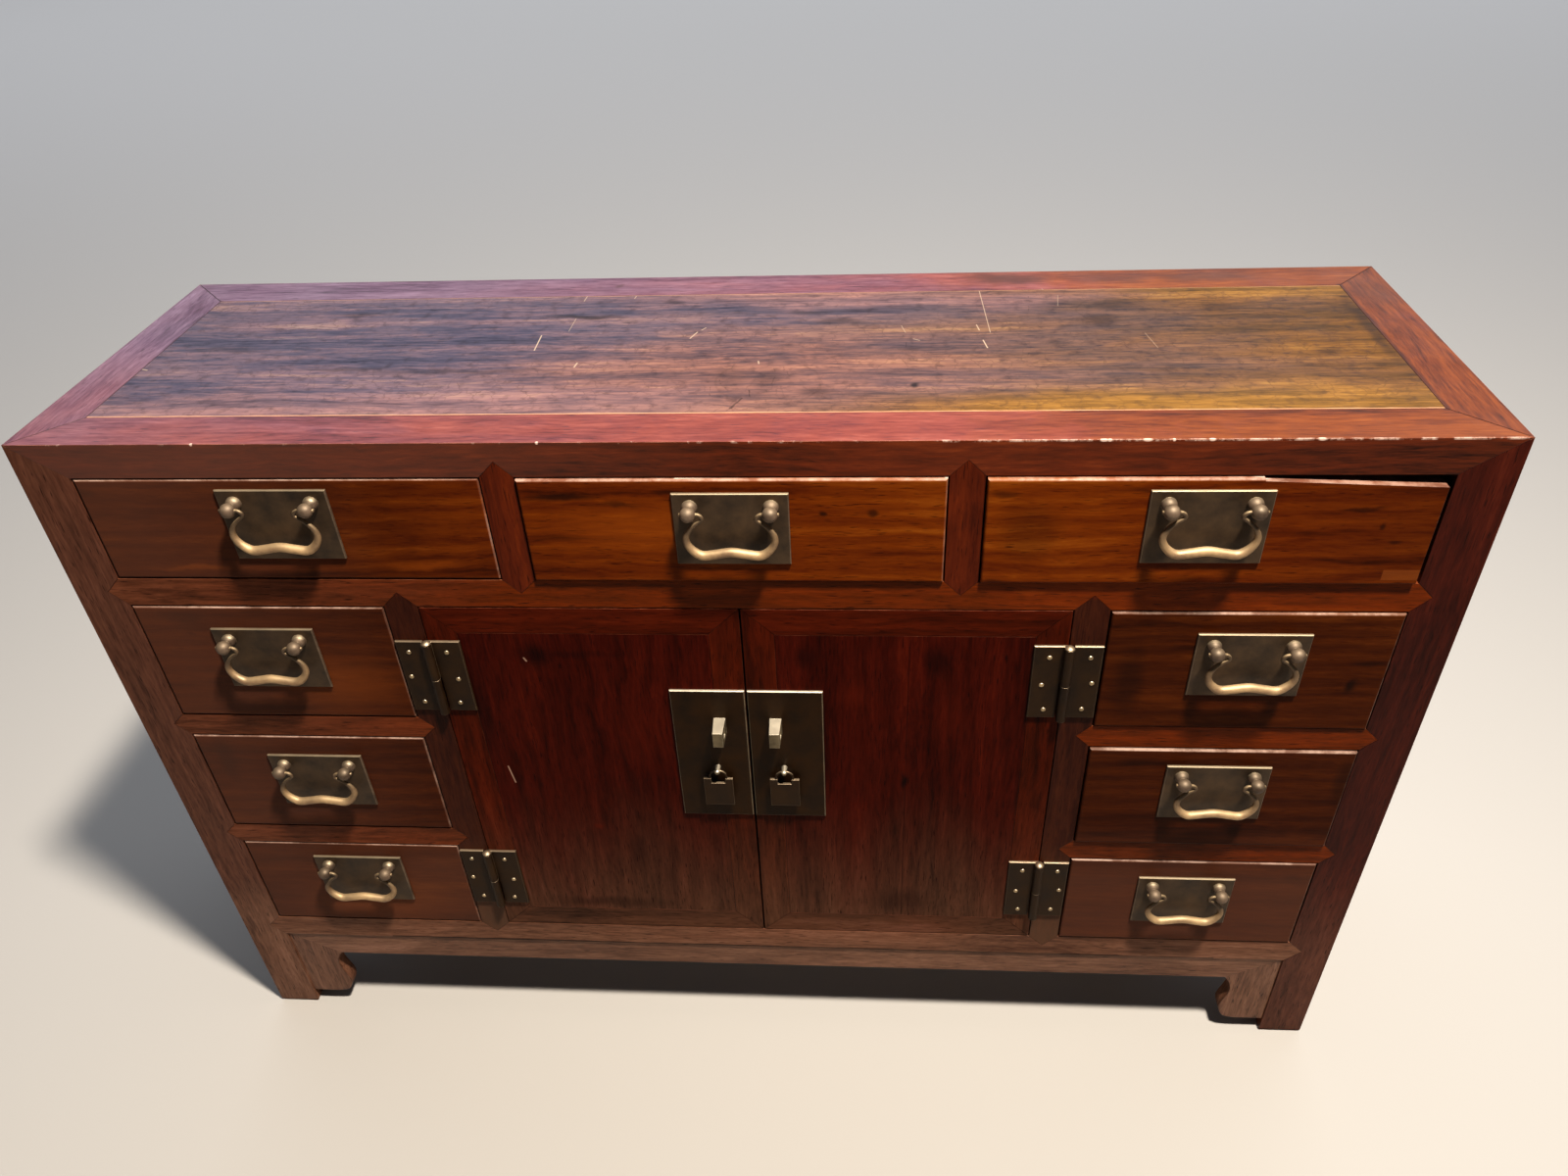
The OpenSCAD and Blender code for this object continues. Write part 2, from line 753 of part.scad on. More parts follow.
// Metal plate with its back on y = 0, bevelled round the front
module bevelled_plate(w, h) {
    b = plate_bevel;
    intersection() {
        along_z(-h / 2, h) polygon([[-w / 2, 0], [-w / 2, b - plate_t], [b - w / 2, -plate_t],
            [w / 2 - b, -plate_t], [w / 2, b - plate_t], [w / 2, 0]]);
        along_x(-w / 2, w) polygon([[0, -h / 2], [b - plate_t, -h / 2], [-plate_t, b - h / 2],
            [-plate_t, h / 2 - b], [b - plate_t, h / 2], [0, h / 2]]);
    }
}

// Hinges are drawn with the axis at x = 0 and the leaf towards +X.
// The upper knuckle belongs to the door, the lower one to the frame.
module hinge_leaf(upper) {
    reach = barrel_d / 2 + knuckle_gap;
    low = upper ? knuckle_gap / 2 : -hinge_h / 2;
    high = upper ? hinge_h / 2 : -knuckle_gap / 2;
    difference() {
        union() {
            translate([(hinge_leaf_w + door_gap / 2) / 2, 0, 0])
                bevelled_plate(hinge_leaf_w - door_gap / 2, hinge_h);
            translate([0, -barrel_reach, low]) cylinder(d = barrel_d, h = high - low);
        }
        block([-reach, -barrel_reach - reach, upper ? -hinge_h : -knuckle_gap / 2],
            [reach, bite, upper ? knuckle_gap / 2 : hinge_h]);
        translate([0, -barrel_reach, -hinge_h])
            cylinder(d = hinge_pin_d + 2 * pivot_gap, h = 2 * hinge_h);
    }
}

module hinge_pin() {
    head_z = hinge_h / 2 + knuckle_gap;
    head_r = barrel_d / 2;
    ball_r = (head_r * head_r + pin_head_h * pin_head_h) / (2 * pin_head_h);
    translate([0, -barrel_reach, -hinge_h / 2])
        cylinder(d = hinge_pin_d, h = head_z + hinge_h / 2 + bite);
    intersection() {
        translate([0, -barrel_reach, head_z + pin_head_h - ball_r]) sphere(ball_r);
        translate([0, -barrel_reach, head_z]) cylinder(r = head_r, h = pin_head_h);
    }
}

// Puts a door drawn from its hinge axis towards +X in its opening
module at_door(side) {
    x = side < 0 ? door_l + door_gap / 2 : door_r - door_gap / 2;
    in_place() translate([x, 0, 0]) mirror([side < 0 ? 0 : 1, 0, 0]) children();
}

module at_hinges() {
    for (z = [z_door - hinge_spread, z_door + hinge_spread]) translate([0, 0, z]) children();
}

module frame_hinge_leaves() {
    for (side = [-1, 1]) at_door(side) at_hinges() {
        color("#3a3226") mirror([1, 0, 0]) hinge_leaf(false);
        color("#b9a37c") hinge_pin();
    }
}

module door_hinge_leaves(side) {
    color("#3a3226") at_door(side) at_hinges() hinge_leaf(true);
}

// Tongued part of a door panel
module door_tongue(grow = 0) {
    edge = door_frame_w - tongue;
    block([door_gap / 2 + edge, door_panel_t - tongue_t, door_low + edge],
        [door_reach - edge, door_panel_t, door_high - edge], grow);
}

// Tenons on the ends of a door's top and bottom rails, hidden in the mitres
module door_tenons(grow = 0) {
    f = door_frame_w;
    y = door_t - door_tenon_set;
    x0 = door_gap / 2;
    for (x = [[x0 + door_tenon_cover, x0 + f + bite],
            [door_reach - f - bite, door_reach - door_tenon_cover]])
        for (z = [[door_low + f / 2, door_low + f - tenon_edge],
                [door_high - f + tenon_edge, door_high - f / 2]])
            block([x[0], y - door_tenon_t, z[0]], [x[1], y, z[1]], grow);
}

// Frame of four mitred pieces, grooved for the panel
module door_frame(side) {
    x0 = door_gap / 2;
    x1 = door_reach;
    f = door_frame_w;
    color("#3d1610") at_door(side) difference() {
        union() {
            difference() {
                along_y(0, door_t) for (x = [[x0, 1], [x1, -1]])
                    polygon([[x[0], door_low], [x[0], door_high],
                        [x[0] + x[1] * f, door_high - f], [x[0] + x[1] * f, door_low + f]]);
                door_tenons(seam);
            }
            along_y(0, door_t) for (e = [[door_high, -1], [door_low, 1]])
                polygon([[x0 + 2 * seam, e[0]], [x1 - 2 * seam, e[0]],
                    [x1 - f - 2 * seam, e[0] + e[1] * f], [x0 + f + 2 * seam, e[0] + e[1] * f]]);
            door_tenons();
        }
        door_tongue(seam);
        lock_shanks(shank_gap);
    }
}

module door_panel(side) {
    inset = door_frame_w + seam;
    color("#451812") at_door(side) difference() {
        union() {
            block([door_gap / 2 + inset, 0, door_low + inset],
                [door_reach - inset, door_panel_t, door_high - inset]);
            door_tongue();
        }
        lock_shanks(shank_gap);
    }
}

// Shanks that hold a lock plate on its door, or the holes for them
module lock_shanks(grow = 0) {
    for (s = [[staple_at, shank_d, door_t], [eye_at, eye_shank_d, door_panel_t]])
        translate(s[0]) translate([0, -plate_t - bite, 0]) rotate([-90, 0, 0])
            cylinder(d = s[1] + 2 * grow, h = plate_t + s[2] + bite + washer_t / 2);
}

// Tapered lock post with its slot
module staple() {
    w = staple_w / 2;
    h = staple_h / 2;
    t = staple_taper / 2;
    root = -plate_t - seat_gap;
    difference() {
        intersection() {
            along_z(-h, 2 * h) polygon([[-w, root], [w, root],
                [w - t, -staple_reach], [t - w, -staple_reach]]);
            along_x(-w, 2 * w) polygon([[root, -h], [root, h],
                [-staple_reach, h - t], [-staple_reach, t - h]]);
        }
        block([-w - bite, -slot_out - slot_d / 2, -slot_h / 2],
            [w + bite, -slot_out + slot_d / 2, slot_h / 2]);
    }
}

module eye_pin() {
    difference() {
        rotate([90, 0, 0]) {
            translate([0, 0, plate_t + seat_gap])
                cylinder(d = eye_d, h = eye_reach - plate_t - seat_gap - eye_d / 2);
            translate([0, 0, eye_reach - eye_d / 2]) sphere(d = eye_d);
        }
        translate([-eye_d, -eye_out, 0]) rotate([0, 90, 0]) cylinder(r = eye_hole_r, h = 2 * eye_d);
    }
}

module lock_plate(side) {
    plate_x = door_reach - lock_inset - lock_w / 2;
    at_door(side) {
        color("#3b3327") difference() {
            translate([plate_x, 0, z_lock]) bevelled_plate(lock_w, lock_h);
            lock_shanks(shank_gap);
        }
        color("#b9a37c") {
            translate(staple_at) staple();
            translate(eye_at) eye_pin();
            lock_shanks();
            translate(staple_at) translate([0, door_t, 0]) rotate([-90, 0, 0])
                cylinder(d = washer_d, h = washer_t);
            translate(eye_at) translate([0, door_panel_t, 0]) rotate([-90, 0, 0])
                cylinder(d = eye_rivet_d, h = washer_t);
        }
    }
}

// Half ring of wire through the eye, with its ends let into the shoulders of the tab
module pull_tab(side) {
    top = -loop_r - wire_d;
    color("#443a2a") at_door(side) translate(eye_at) translate([0, -eye_out, 0]) {
        translate([0, 0, -loop_r]) rotate([90, 0, 0]) rotate_extrude(angle = 180)
            translate([loop_r, 0]) circle(d = wire_d);
        for (x = [-loop_r, loop_r]) translate([x, 0, top - bite])
            cylinder(d = wire_d, h = wire_d + bite);
        difference() {
            block([-tab_w / 2, -tab_t / 2, top - tab_h], [tab_w / 2, tab_t / 2, top]);
            block([-notch_w / 2, -tab_t, top - notch_h], [notch_w / 2, tab_t, top + bite]);
        }
    }
}

// Outline of a board of width w and thickness t, with its two front corners rounded
module rounded_edge(w, t) {
    r = edge_round;
    translate([0, r]) square([w, t - r]);
    translate([r, 0]) square([w - 2 * r, t - r]);
    for (x = [r, w - r]) translate([x, r]) circle(r);
}

// Outline of the worn drawer front, seen from the front
module worn_outline(x0, x1, z0, z1) {
    polygon([[x0, z0], [x1 - worn_side, z0], [x1 - worn_side, z1 - worn_drop],
        [x1 - worn_run, z1 - worn_chip], [x1 - worn_run, z1], [x0, z1]]);
}

// Holes for the two shanks of a pull, or the shanks themselves
module shanks(d, y0, y1) {
    for (x = [-post_x, post_x]) translate([x, y1, pivot_rise]) rotate([90, 0, 0])
        cylinder(d = d, h = y1 - y0);
}

module drawer_front(i) {
    x0 = bays[i][0] + front_gap;
    x1 = bays[i][1] - front_gap;
    z0 = bays[i][2] + front_gap;
    z1 = bays[i][3] - front_gap;
    color(i < 3 ? "#7a3d16" : "#5e2c12") in_place() translate([0, -proud[i], 0]) difference() {
        intersection() {
            along_z(z0, z1 - z0) translate([x0, 0]) rounded_edge(x1 - x0, front_t);
            along_x(x0, x1 - x0) translate([0, z0]) mirror([1, -1, 0]) rounded_edge(z1 - z0, front_t);
            if (i == worn_drawer) along_y(0, front_t) worn_outline(x0, x1, z0, z1);
        }
        translate([pull_x(i), 0, pull_z(i)]) shanks(shank_d + 2 * shank_gap, -bite, front_t + bite);
        translate([0, proud[i], 0]) {
            front_tails(i, seam);
            drawer_bottom(i, seam);
        }
    }
}

// Dovetails on a board of thickness t at x, which point along y by dir and have length l
module tails(x, t, y, dir, l, z0, z1, grow = 0) {
    pitch = (z1 - z0) / tail_count;
    root = pitch * tail_share / 2 + grow;
    tip = root + (l + grow) * tail_slope;
    for (k = [0:tail_count - 1]) {
        z = z0 + pitch * (k + 0.5);
        along_x(x - grow, t + 2 * grow) polygon([[y - dir * bite, z - root], [y, z - root],
            [y + dir * (l + grow), z - tip], [y + dir * (l + grow), z + tip], [y, z + root],
            [y - dir * bite, z + root]]);
    }
}

// Outer faces of a drawer's sides, levels of its parts, and where its front ends
function box_x(i) = [bays[i][0] + side_gap, bays[i][1] - side_gap - (i == worn_drawer ? worn_side : 0)];
function box_low(i) = bays[i][2] + run_gap;
function box_high(i) = bays[i][3] - side_drop;
function floor_low(i) = box_low(i) + bottom_rise;
function tails_low(i) = floor_low(i) + drawer_bottom_t + seam;
function front_back(i) = front_t - proud[i];

// Bottom board, which runs in grooves of the sides and of the front
module drawer_bottom(i, grow = 0) {
    inset = drawer_side_t - bottom_groove;
    block([box_x(i)[0] + inset, front_back(i) - bottom_groove, floor_low(i)],
        [box_x(i)[1] - inset, drawer_back, floor_low(i) + drawer_bottom_t], grow);
}

// Dovetails of both sides at the front end or at the back end
module front_tails(i, grow = 0) {
    for (x = [box_x(i)[0], box_x(i)[1] - drawer_side_t])
        tails(x, drawer_side_t, front_back(i), -1, tail_l, tails_low(i), box_high(i), grow);
}

module back_tails(i, grow = 0) {
    for (x = [box_x(i)[0], box_x(i)[1] - drawer_side_t])
        tails(x, drawer_side_t, drawer_back - drawer_side_t, 1, drawer_side_t, tails_low(i),
            box_high(i), grow);
}

// Sides, back and bottom of a drawer, behind its front
module drawer_box(i) {
    t = drawer_side_t;
    color("#8a6a44") in_place() {
        difference() {
            union() {
                for (x = [box_x(i)[0], box_x(i)[1] - t]) {
                    block([x, front_back(i), box_low(i)], [x + t, drawer_back - t, box_high(i)]);
                    block([x, front_back(i), box_low(i)], [x + t, drawer_back, tails_low(i) - seam]);
                }
                front_tails(i);
                back_tails(i);
            }
            drawer_bottom(i, seam);
        }
        drawer_bottom(i);
        difference() {
            block([box_x(i)[0], drawer_back - t + seam, tails_low(i)],
                [box_x(i)[1], drawer_back, box_high(i)]);
            back_tails(i, seam);
        }
    }
}

// Post of a pull, drawn from the wood outwards along -Y
module post() {
    difference() {
        rotate([90, 0, 0]) {
            translate([0, 0, ball_reach]) sphere(d = ball_d);
            cylinder(d = neck_d, h = ball_reach);
            intersection() {
                translate([0, 0, plate_t + 1]) sphere(d = ball_d);
                translate([0, 0, plate_t]) cylinder(d = ball_d, h = ball_d);
            }
        }
        translate([-ball_d, -ball_reach, 0]) rotate([0, 90, 0])
            cylinder(d = bail_pin_d + 2 * pivot_gap, h = 2 * ball_d);
        block([-neck_d, -plate_t - seat_gap, -neck_d], [neck_d, bite, neck_d]);
    }
}

module pull_plate(i) {
    tail = front_t + washer_t;
    in_place() translate([pull_x(i), -proud[i], pull_z(i)]) {
        color("#3a3226") difference() {
            bevelled_plate(plate_w, plate_h);
            shanks(shank_d + 2 * shank_gap, -plate_t - bite, bite);
        }
        color("#8d7a58") {
            for (x = [-post_x, post_x]) translate([x, 0, pivot_rise]) post();
            shanks(shank_d, -plate_t - bite, tail);
            for (x = [-post_x, post_x]) translate([x, tail, pivot_rise]) rotate([90, 0, 0])
                cylinder(d = washer_d, h = washer_t);
        }
    }
}

// Tube along a flat line of [x, z, radius] points
module tube(line, sides) {
    last = len(line) - 1;
    rings = [for (i = [0:last])
        let (a = line[max(i - 1, 0)], b = line[min(i + 1, last)],
            d = [b[0] - a[0], b[1] - a[1]] / norm([b[0] - a[0], b[1] - a[1]]), r = line[i][2])
        for (k = [0:sides - 1])
            let (u = r * cos(360 * k / sides), v = r * sin(360 * k / sides))
            [line[i][0] - d[1] * u, v, line[i][1] + d[0] * u]];
    skin = [for (i = [0:last - 1]) for (k = [0:sides - 1])
        let (n = (k + 1) % sides, p = i * sides) each [
            [p + k, p + n, p + sides + k],
            [p + n, p + sides + n, p + sides + k]]];
    start = [for (k = [sides - 1:-1:0]) k];
    end = [for (k = [0:sides - 1]) last * sides + k];
    polyhedron(rings, concat(skin, [start, end]));
}

module pull_bail(i) {
    thin = bail_neck_d / 2;
    half = [for (p = bail_line) [p[0], p[1], thin + p[2] * (bail_d / 2 - thin)]];
    other = [for (k = [len(half) - 1:-1:1]) [-half[k][0], half[k][1], half[k][2]]];
    pin_l = ball_d + 2 * bail_tip;
    color("#a68b5b") in_place()
        translate([pull_x(i), -proud[i] - ball_reach, pull_z(i) + pivot_rise]) {
            tube(smooth(concat(other, half), bail_steps), bail_sides);
            for (x = [-post_x, post_x]) translate([x - pin_l / 2, 0, 0]) rotate([0, 90, 0])
                cylinder(d = bail_pin_d, h = pin_l);
        }
}

corner_posts();
top_frame();
top_panel();
front_rails();
front_dividers();
side_and_back_rails();
side_panels();
back_panels();
base_board();
partitions();
drawer_runners();
aprons();
frame_hinge_leaves();
door_frame(-1);  // left_door_frame
door_panel(-1);  // left_door_panel
door_hinge_leaves(-1);  // left_door_hinge_leaves
lock_plate(-1);  // left_lock_plate
pull_tab(-1);  // left_pull_tab
door_frame(1);  // right_door_frame
door_panel(1);  // right_door_panel
door_hinge_leaves(1);  // right_door_hinge_leaves
lock_plate(1);  // right_lock_plate
pull_tab(1);  // right_pull_tab
drawer_front(0);  // top_left_front
drawer_box(0);  // top_left_box
pull_plate(0);  // top_left_plate
pull_bail(0);  // top_left_bail
drawer_front(1);  // top_middle_front
drawer_box(1);  // top_middle_box
pull_plate(1);  // top_middle_plate
pull_bail(1);  // top_middle_bail
drawer_front(2);  // top_right_front
drawer_box(2);  // top_right_box
pull_plate(2);  // top_right_plate
pull_bail(2);  // top_right_bail
drawer_front(3);  // left_upper_front
drawer_box(3);  // left_upper_box
pull_plate(3);  // left_upper_plate
pull_bail(3);  // left_upper_bail
drawer_front(4);  // left_middle_front
drawer_box(4);  // left_middle_box
pull_plate(4);  // left_middle_plate
pull_bail(4);  // left_middle_bail
drawer_front(5);  // left_lower_front
drawer_box(5);  // left_lower_box
pull_plate(5);  // left_lower_plate
pull_bail(5);  // left_lower_bail
drawer_front(6);  // right_upper_front
drawer_box(6);  // right_upper_box
pull_plate(6);  // right_upper_plate
pull_bail(6);  // right_upper_bail
drawer_front(7);  // right_middle_front
drawer_box(7);  // right_middle_box
pull_plate(7);  // right_middle_plate
pull_bail(7);  // right_middle_bail
drawer_front(8);  // right_lower_front
drawer_box(8);  // right_lower_box
pull_plate(8);  // right_lower_plate
pull_bail(8);  // right_lower_bail
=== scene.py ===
# %% [markdown]
# # An old Chinese sideboard, dressed for a picture
# The solid model of the sideboard is already made: every leg, rail, drawer and hinge has its
# true size and place. This lesson gives it what a solid model lacks: old varnish, wood grain,
# patina on brass, smooth handles and the small nails of the hinges.
# We load the solid model first. It stays where it is, and everything we add rides on it.

# %% Load the solid model
import json
from collections import namedtuple

import bpy
from mathutils import Matrix, Vector


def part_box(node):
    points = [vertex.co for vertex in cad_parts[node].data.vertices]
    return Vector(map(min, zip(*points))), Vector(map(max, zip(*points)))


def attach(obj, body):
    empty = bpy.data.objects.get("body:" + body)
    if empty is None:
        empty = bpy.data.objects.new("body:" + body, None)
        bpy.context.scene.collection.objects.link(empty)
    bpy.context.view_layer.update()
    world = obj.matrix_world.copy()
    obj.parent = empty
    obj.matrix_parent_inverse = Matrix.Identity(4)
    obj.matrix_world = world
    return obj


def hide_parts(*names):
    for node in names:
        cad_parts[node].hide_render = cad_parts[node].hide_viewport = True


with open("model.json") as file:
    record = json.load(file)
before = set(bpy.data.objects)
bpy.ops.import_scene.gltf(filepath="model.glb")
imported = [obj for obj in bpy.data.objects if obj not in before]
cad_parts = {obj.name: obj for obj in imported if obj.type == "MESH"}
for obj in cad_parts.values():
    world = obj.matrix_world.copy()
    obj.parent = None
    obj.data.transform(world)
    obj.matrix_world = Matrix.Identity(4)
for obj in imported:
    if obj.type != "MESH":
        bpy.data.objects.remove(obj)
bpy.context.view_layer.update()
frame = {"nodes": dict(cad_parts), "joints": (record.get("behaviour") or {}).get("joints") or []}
nodes = frame["nodes"]
joints = {joint["name"]: joint for joint in frame["joints"]}

MM = 0.001
CASE_LOW, CASE_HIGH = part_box("corner_posts")
FACE_Y = CASE_LOW.y
BACK_Y = CASE_HIGH.y
HALF_W = CASE_HIGH.x
TOP_Z = CASE_HIGH.z
FACE_MM, TOP_MM = FACE_Y / MM, TOP_Z / MM
DRAWERS = ["top_left", "top_middle", "top_right", "left_upper", "left_middle", "left_lower",
           "right_upper", "right_middle", "right_lower"]

# %% [markdown]
# ## Small helpers
# A colour is written the way a paint chart writes it, as a hex value for the eye. The renderer
# counts light instead, so one function turns the hex value into linear light.
# The next helpers add a node to a tree with its settings and links, for shaders and geometry
# alike, and start a material with a principled shader, ready to be fed.

# %% Helpers for colours, nodes and materials
def tone(hex_value):
    """The linear colour of an sRGB hex value."""
    parts = [int(hex_value[k:k + 2], 16) / 255 for k in (1, 3, 5)]
    return [p / 12.92 if p <= 0.04045 else ((p + 0.055) / 1.055) ** 2.4 for p in parts] + [1.0]


def feed(tree, node, feeds):
    """Links each socket to another socket or to a node's first live output, or sets its value.

    A list feeds the first sockets in order, a dict those that its keys say.
    """
    for key, value in feeds.items() if isinstance(feeds, dict) else enumerate(feeds):
        if isinstance(value, bpy.types.Node):
            value = next(output for output in value.outputs if output.enabled)
        if isinstance(value, bpy.types.NodeSocket):
            tree.links.new(value, node.inputs[key])
        else:
            node.inputs[key].default_value = value


def add(tree, kind, feeds=(), stops=None, **settings):
    """One node: its settings, the stops of a ramp, and what feeds each socket.

    A kind without the word Node is a shader node. Its operation may follow after a space.
    """
    kind, _, operation = kind.partition(" ")
    node = tree.nodes.new(kind if "Node" in kind else "ShaderNode" + kind)
    if operation:
        node.operation = operation
    for key, value in settings.items():
        setattr(node, key, value)
    if stops:
        ramp = node.color_ramp.elements
        while len(ramp) < len(stops):
            ramp.new(0.5)
        for element, (place, colour) in zip(ramp, stops):
            element.position = place
            element.color = colour
    feed(tree, node, feeds)
    return node


def new_material(name, **sockets):
    """A material with a principled shader whose fixed values are set on its own sockets."""
    material = bpy.data.materials.new(name)
    material.use_nodes = True
    shader = material.node_tree.nodes["Principled BSDF"]
    for key, value in sockets.items():
        shader.inputs[key.replace("_", " ")].default_value = value
    return material, material.node_tree, shader


# %% [markdown]
# ## The camera
# The photograph was taken from about eye height, a little to the right of the middle, looking
# down at the sideboard with a wide phone lens. The place and the direction were worked out from
# six corners of the case, so the camera is set by its place and its three directions.

# %% Camera
eye = Vector((0.1242, FACE_Y - 0.9077, 1.4013))
right = Vector((0.99736, 0.06078, -0.03980))
forward = Vector((-0.07254, 0.80177, -0.59322))
up = right.cross(forward)
camera_data = bpy.data.cameras.new("photo_camera")
camera_data.sensor_width = 36.0
camera_data.lens = 26.19
camera = bpy.data.objects.new("photo_camera", camera_data)
turn = Matrix((right, up, -forward)).transposed().to_4x4()
camera.matrix_world = Matrix.Translation(eye) @ turn
bpy.context.scene.collection.objects.link(camera)
bpy.context.scene.camera = camera
print("camera at", [round(v, 3) for v in eye], "lens", camera_data.lens, "mm")

# %% [markdown]
# ## Floor and light
# The floor is a plain pale sheet, much larger than the picture. Under a high lamp the top is
# bright and the front lies in half shade, as in the photograph, so a small lamp hangs over the
# right front corner, where the sun was. A wide panel high behind the sideboard lights the top
# and the floor evenly, and a weak lamp fills the front. More contrast keeps the browns deep.

# %% Floor and light
bpy.context.scene.view_settings.view_transform = "Standard"
bpy.context.scene.view_settings.look = "Medium High Contrast"

floor_material, floor_tree, floor_shader = new_material("matte_pale_studio_paint", Roughness=0.9)
floor_speck = add(floor_tree, "TexNoise", {"Scale": 3.0, "Detail": 2.0})
floor_shade = add(floor_tree, "ValToRGB", [floor_speck],
                  stops=[(0.3, tone("#b6b4b0")), (0.7, tone("#bab8b5"))])
feed(floor_tree, floor_shader, {"Base Color": floor_shade})
bpy.ops.mesh.primitive_plane_add(size=40.0, location=(0, 6, 0))
floor = bpy.context.object
floor.name = "studio_floor"
floor.data.materials.append(floor_material)

world = bpy.data.worlds.new("pale_sky")
bpy.context.scene.world = world
world.use_nodes = True
sky = world.node_tree.nodes["Background"]
feed(world.node_tree, sky, {"Color": tone("#e9eef6"), "Strength": 0.05})


def soft_lamp(name, place, target, size, power, colour):
    """A rectangular lamp that looks at a target."""
    data = bpy.data.lights.new(name, "AREA")
    data.shape = "RECTANGLE"
    data.size, data.size_y = size
    data.energy = power
    data.color = tone(colour)[:3]
    lamp = bpy.data.objects.new(name, data)
    look = (Vector(target) - Vector(place)).to_track_quat("-Z", "Y")
    lamp.matrix_world = Matrix.Translation(place) @ look.to_matrix().to_4x4()
    bpy.context.scene.collection.objects.link(lamp)
    print(name, power, "W")


soft_lamp("background_panel", (0, 11.0, 5.0), (0, 11.0, 0), (24.0, 18.0), 1600.0, "#eef2fb")
soft_lamp("overhead_lamp", (0.75, -0.95, 3.4), (0, 0, 0.7), (0.25, 0.25), 190.0, "#fff3e4")
soft_lamp("front_fill", (-0.6, -3.4, 1.6), (0, 0, 0.4), (2.6, 1.6), 1.0, "#fbf6f0")

# %% [markdown]
# ## Marks on a surface
# Stains, scratches and rings are drawn where the real ones are. Each is a mask made from a
# distance: from a point for a stain, from a line for a scratch, from a circle for a ring. All
# lengths are in millimetres from the origin of the model. A little noise bends the outlines,
# because nothing on old wood has a compass-drawn edge.

# %% Stain, scratch and ring masks
THROUGH_TOP = 400  # how deep a stain on the top or on a front goes
THROUGH_FRONT = 60


def stain(tree, place, centre, reach, soft, power):
    """Up to power in the middle of an oval stain, 0 outside it."""
    away = add(tree, "VectorMath SUBTRACT", [place, [c * MM for c in centre]])
    share = add(tree, "VectorMath MULTIPLY", [away, [1 / (r * MM) for r in reach]])
    size = add(tree, "VectorMath LENGTH", [share])
    return add(tree, "MapRange", [size, 1.0 - soft, 1.0, power, 0.0],
               interpolation_type="SMOOTHSTEP")


def scratch(tree, place, start, end, width, power):
    """Up to power along a straight scratch from start to end, 0 beside it."""
    a = Vector(start) * MM
    run = Vector(end) * MM - a
    away = add(tree, "VectorMath SUBTRACT", [place, a])
    share = add(tree, "VectorMath DOT_PRODUCT", [away, run / run.length_squared])
    on_line = add(tree, "Clamp", [share])
    foot = add(tree, "VectorMath SCALE", {0: run, "Scale": on_line})
    off = add(tree, "VectorMath DISTANCE", [away, foot])
    return add(tree, "MapRange", [off, width * 0.3 * MM, width * 0.7 * MM, power, 0.0])


def ring_mark(tree, place, centre, radius, width, power):
    """Up to power on a ring round a point, 0 beside it."""
    off = add(tree, "VectorMath DISTANCE", [place, [c * MM for c in centre]])
    gap = add(tree, "Math SUBTRACT", [off, radius * MM])
    size = add(tree, "Math ABSOLUTE", [gap])
    return add(tree, "MapRange", [size, width * 0.2 * MM, width * 0.8 * MM, power, 0.0])


def strongest(tree, masks):
    """The highest of several masks."""
    total = masks[0]
    for mask in masks[1:]:
        total = add(tree, "Math MAXIMUM", [total, mask])
    return total


def on_top(x, y):
    """A place on the top, y behind the front edge."""
    return (x, FACE_MM + y, TOP_MM)


def on_front(x, z):
    """A place on the face of the case, z above the floor."""
    return (x, FACE_MM, z)


def stains(tree, place, side, spots, soft=0.8):
    """The strongest of many stains: a place on the side, two reaches and a power for each."""
    masks = []
    for x, far, wide, high, power in spots:
        reach = (wide, high, THROUGH_TOP) if side is on_top else (wide, THROUGH_FRONT, high)
        masks.append(stain(tree, place, side(x, far), reach, soft, power))
    return strongest(tree, masks)


def scratches(tree, place, side, lines, thinner=1.0, fainter=1.0):
    """The strongest of many scratches: two places on the side, a width and a power for each."""
    return strongest(tree, [scratch(tree, place, side(*a), side(*b), width * thinner,
                                    power * fainter) for a, b, width, power in lines])


def uneven(tree, place, amount_mm, per_metre):
    """The place, pushed about by noise, so that outlines wander."""
    noise = add(tree, "TexNoise", {"Vector": place.whole, "Scale": per_metre, "Detail": 3.0})
    centred = add(tree, "VectorMath SUBTRACT", [noise.outputs["Color"], (0.5, 0.5, 0.5)])
    push = add(tree, "VectorMath SCALE", {0: centred, "Scale": amount_mm * 4 * MM})
    return add(tree, "VectorMath ADD", [place.whole, push])


def cover(tree, colour, mask, top):
    """The colour, with a hex value or another colour laid over it where the mask says."""
    top = tone(top) if isinstance(top, str) else top
    return add(tree, "Mix", {0: mask, 6: colour, 7: top}, data_type="RGBA")


print("marks: stain, scratch, ring")

# %% [markdown]
# ## Varnished hardwood
# The case is a reddish hardwood under a dark stain and an old satin varnish. What the eye takes
# for wood is streaks that run along a board, the arches where a board cuts the tree's rings,
# cloudy changes of tone, and short dark pores. A carpenter lays the grain along each piece, so
# every pattern is stretched along one axis, and a piece whose members run two ways gets a mask
# that says which is which. The pores of such wood are about 0.2 mm wide. They are drawn 1.3 mm
# wide here, because finer ones wouldn't show in the picture.
#
# Each wood has a main set of tones and may have a second one with a mask, for parts that the sun
# has bleached or that dirt and smoke have darkened, and for a painted sheen of the sky and the
# floor.

# %% Wood with streaks, rings, pores and worn edges
Place = namedtuple("Place", "whole x y z")
ORDER = {"X": "xyz", "Y": "yzx", "Z": "zxy"}
RING_AT_SCALE_1 = 0.314  # metres from ring to ring in a wave texture of scale 1


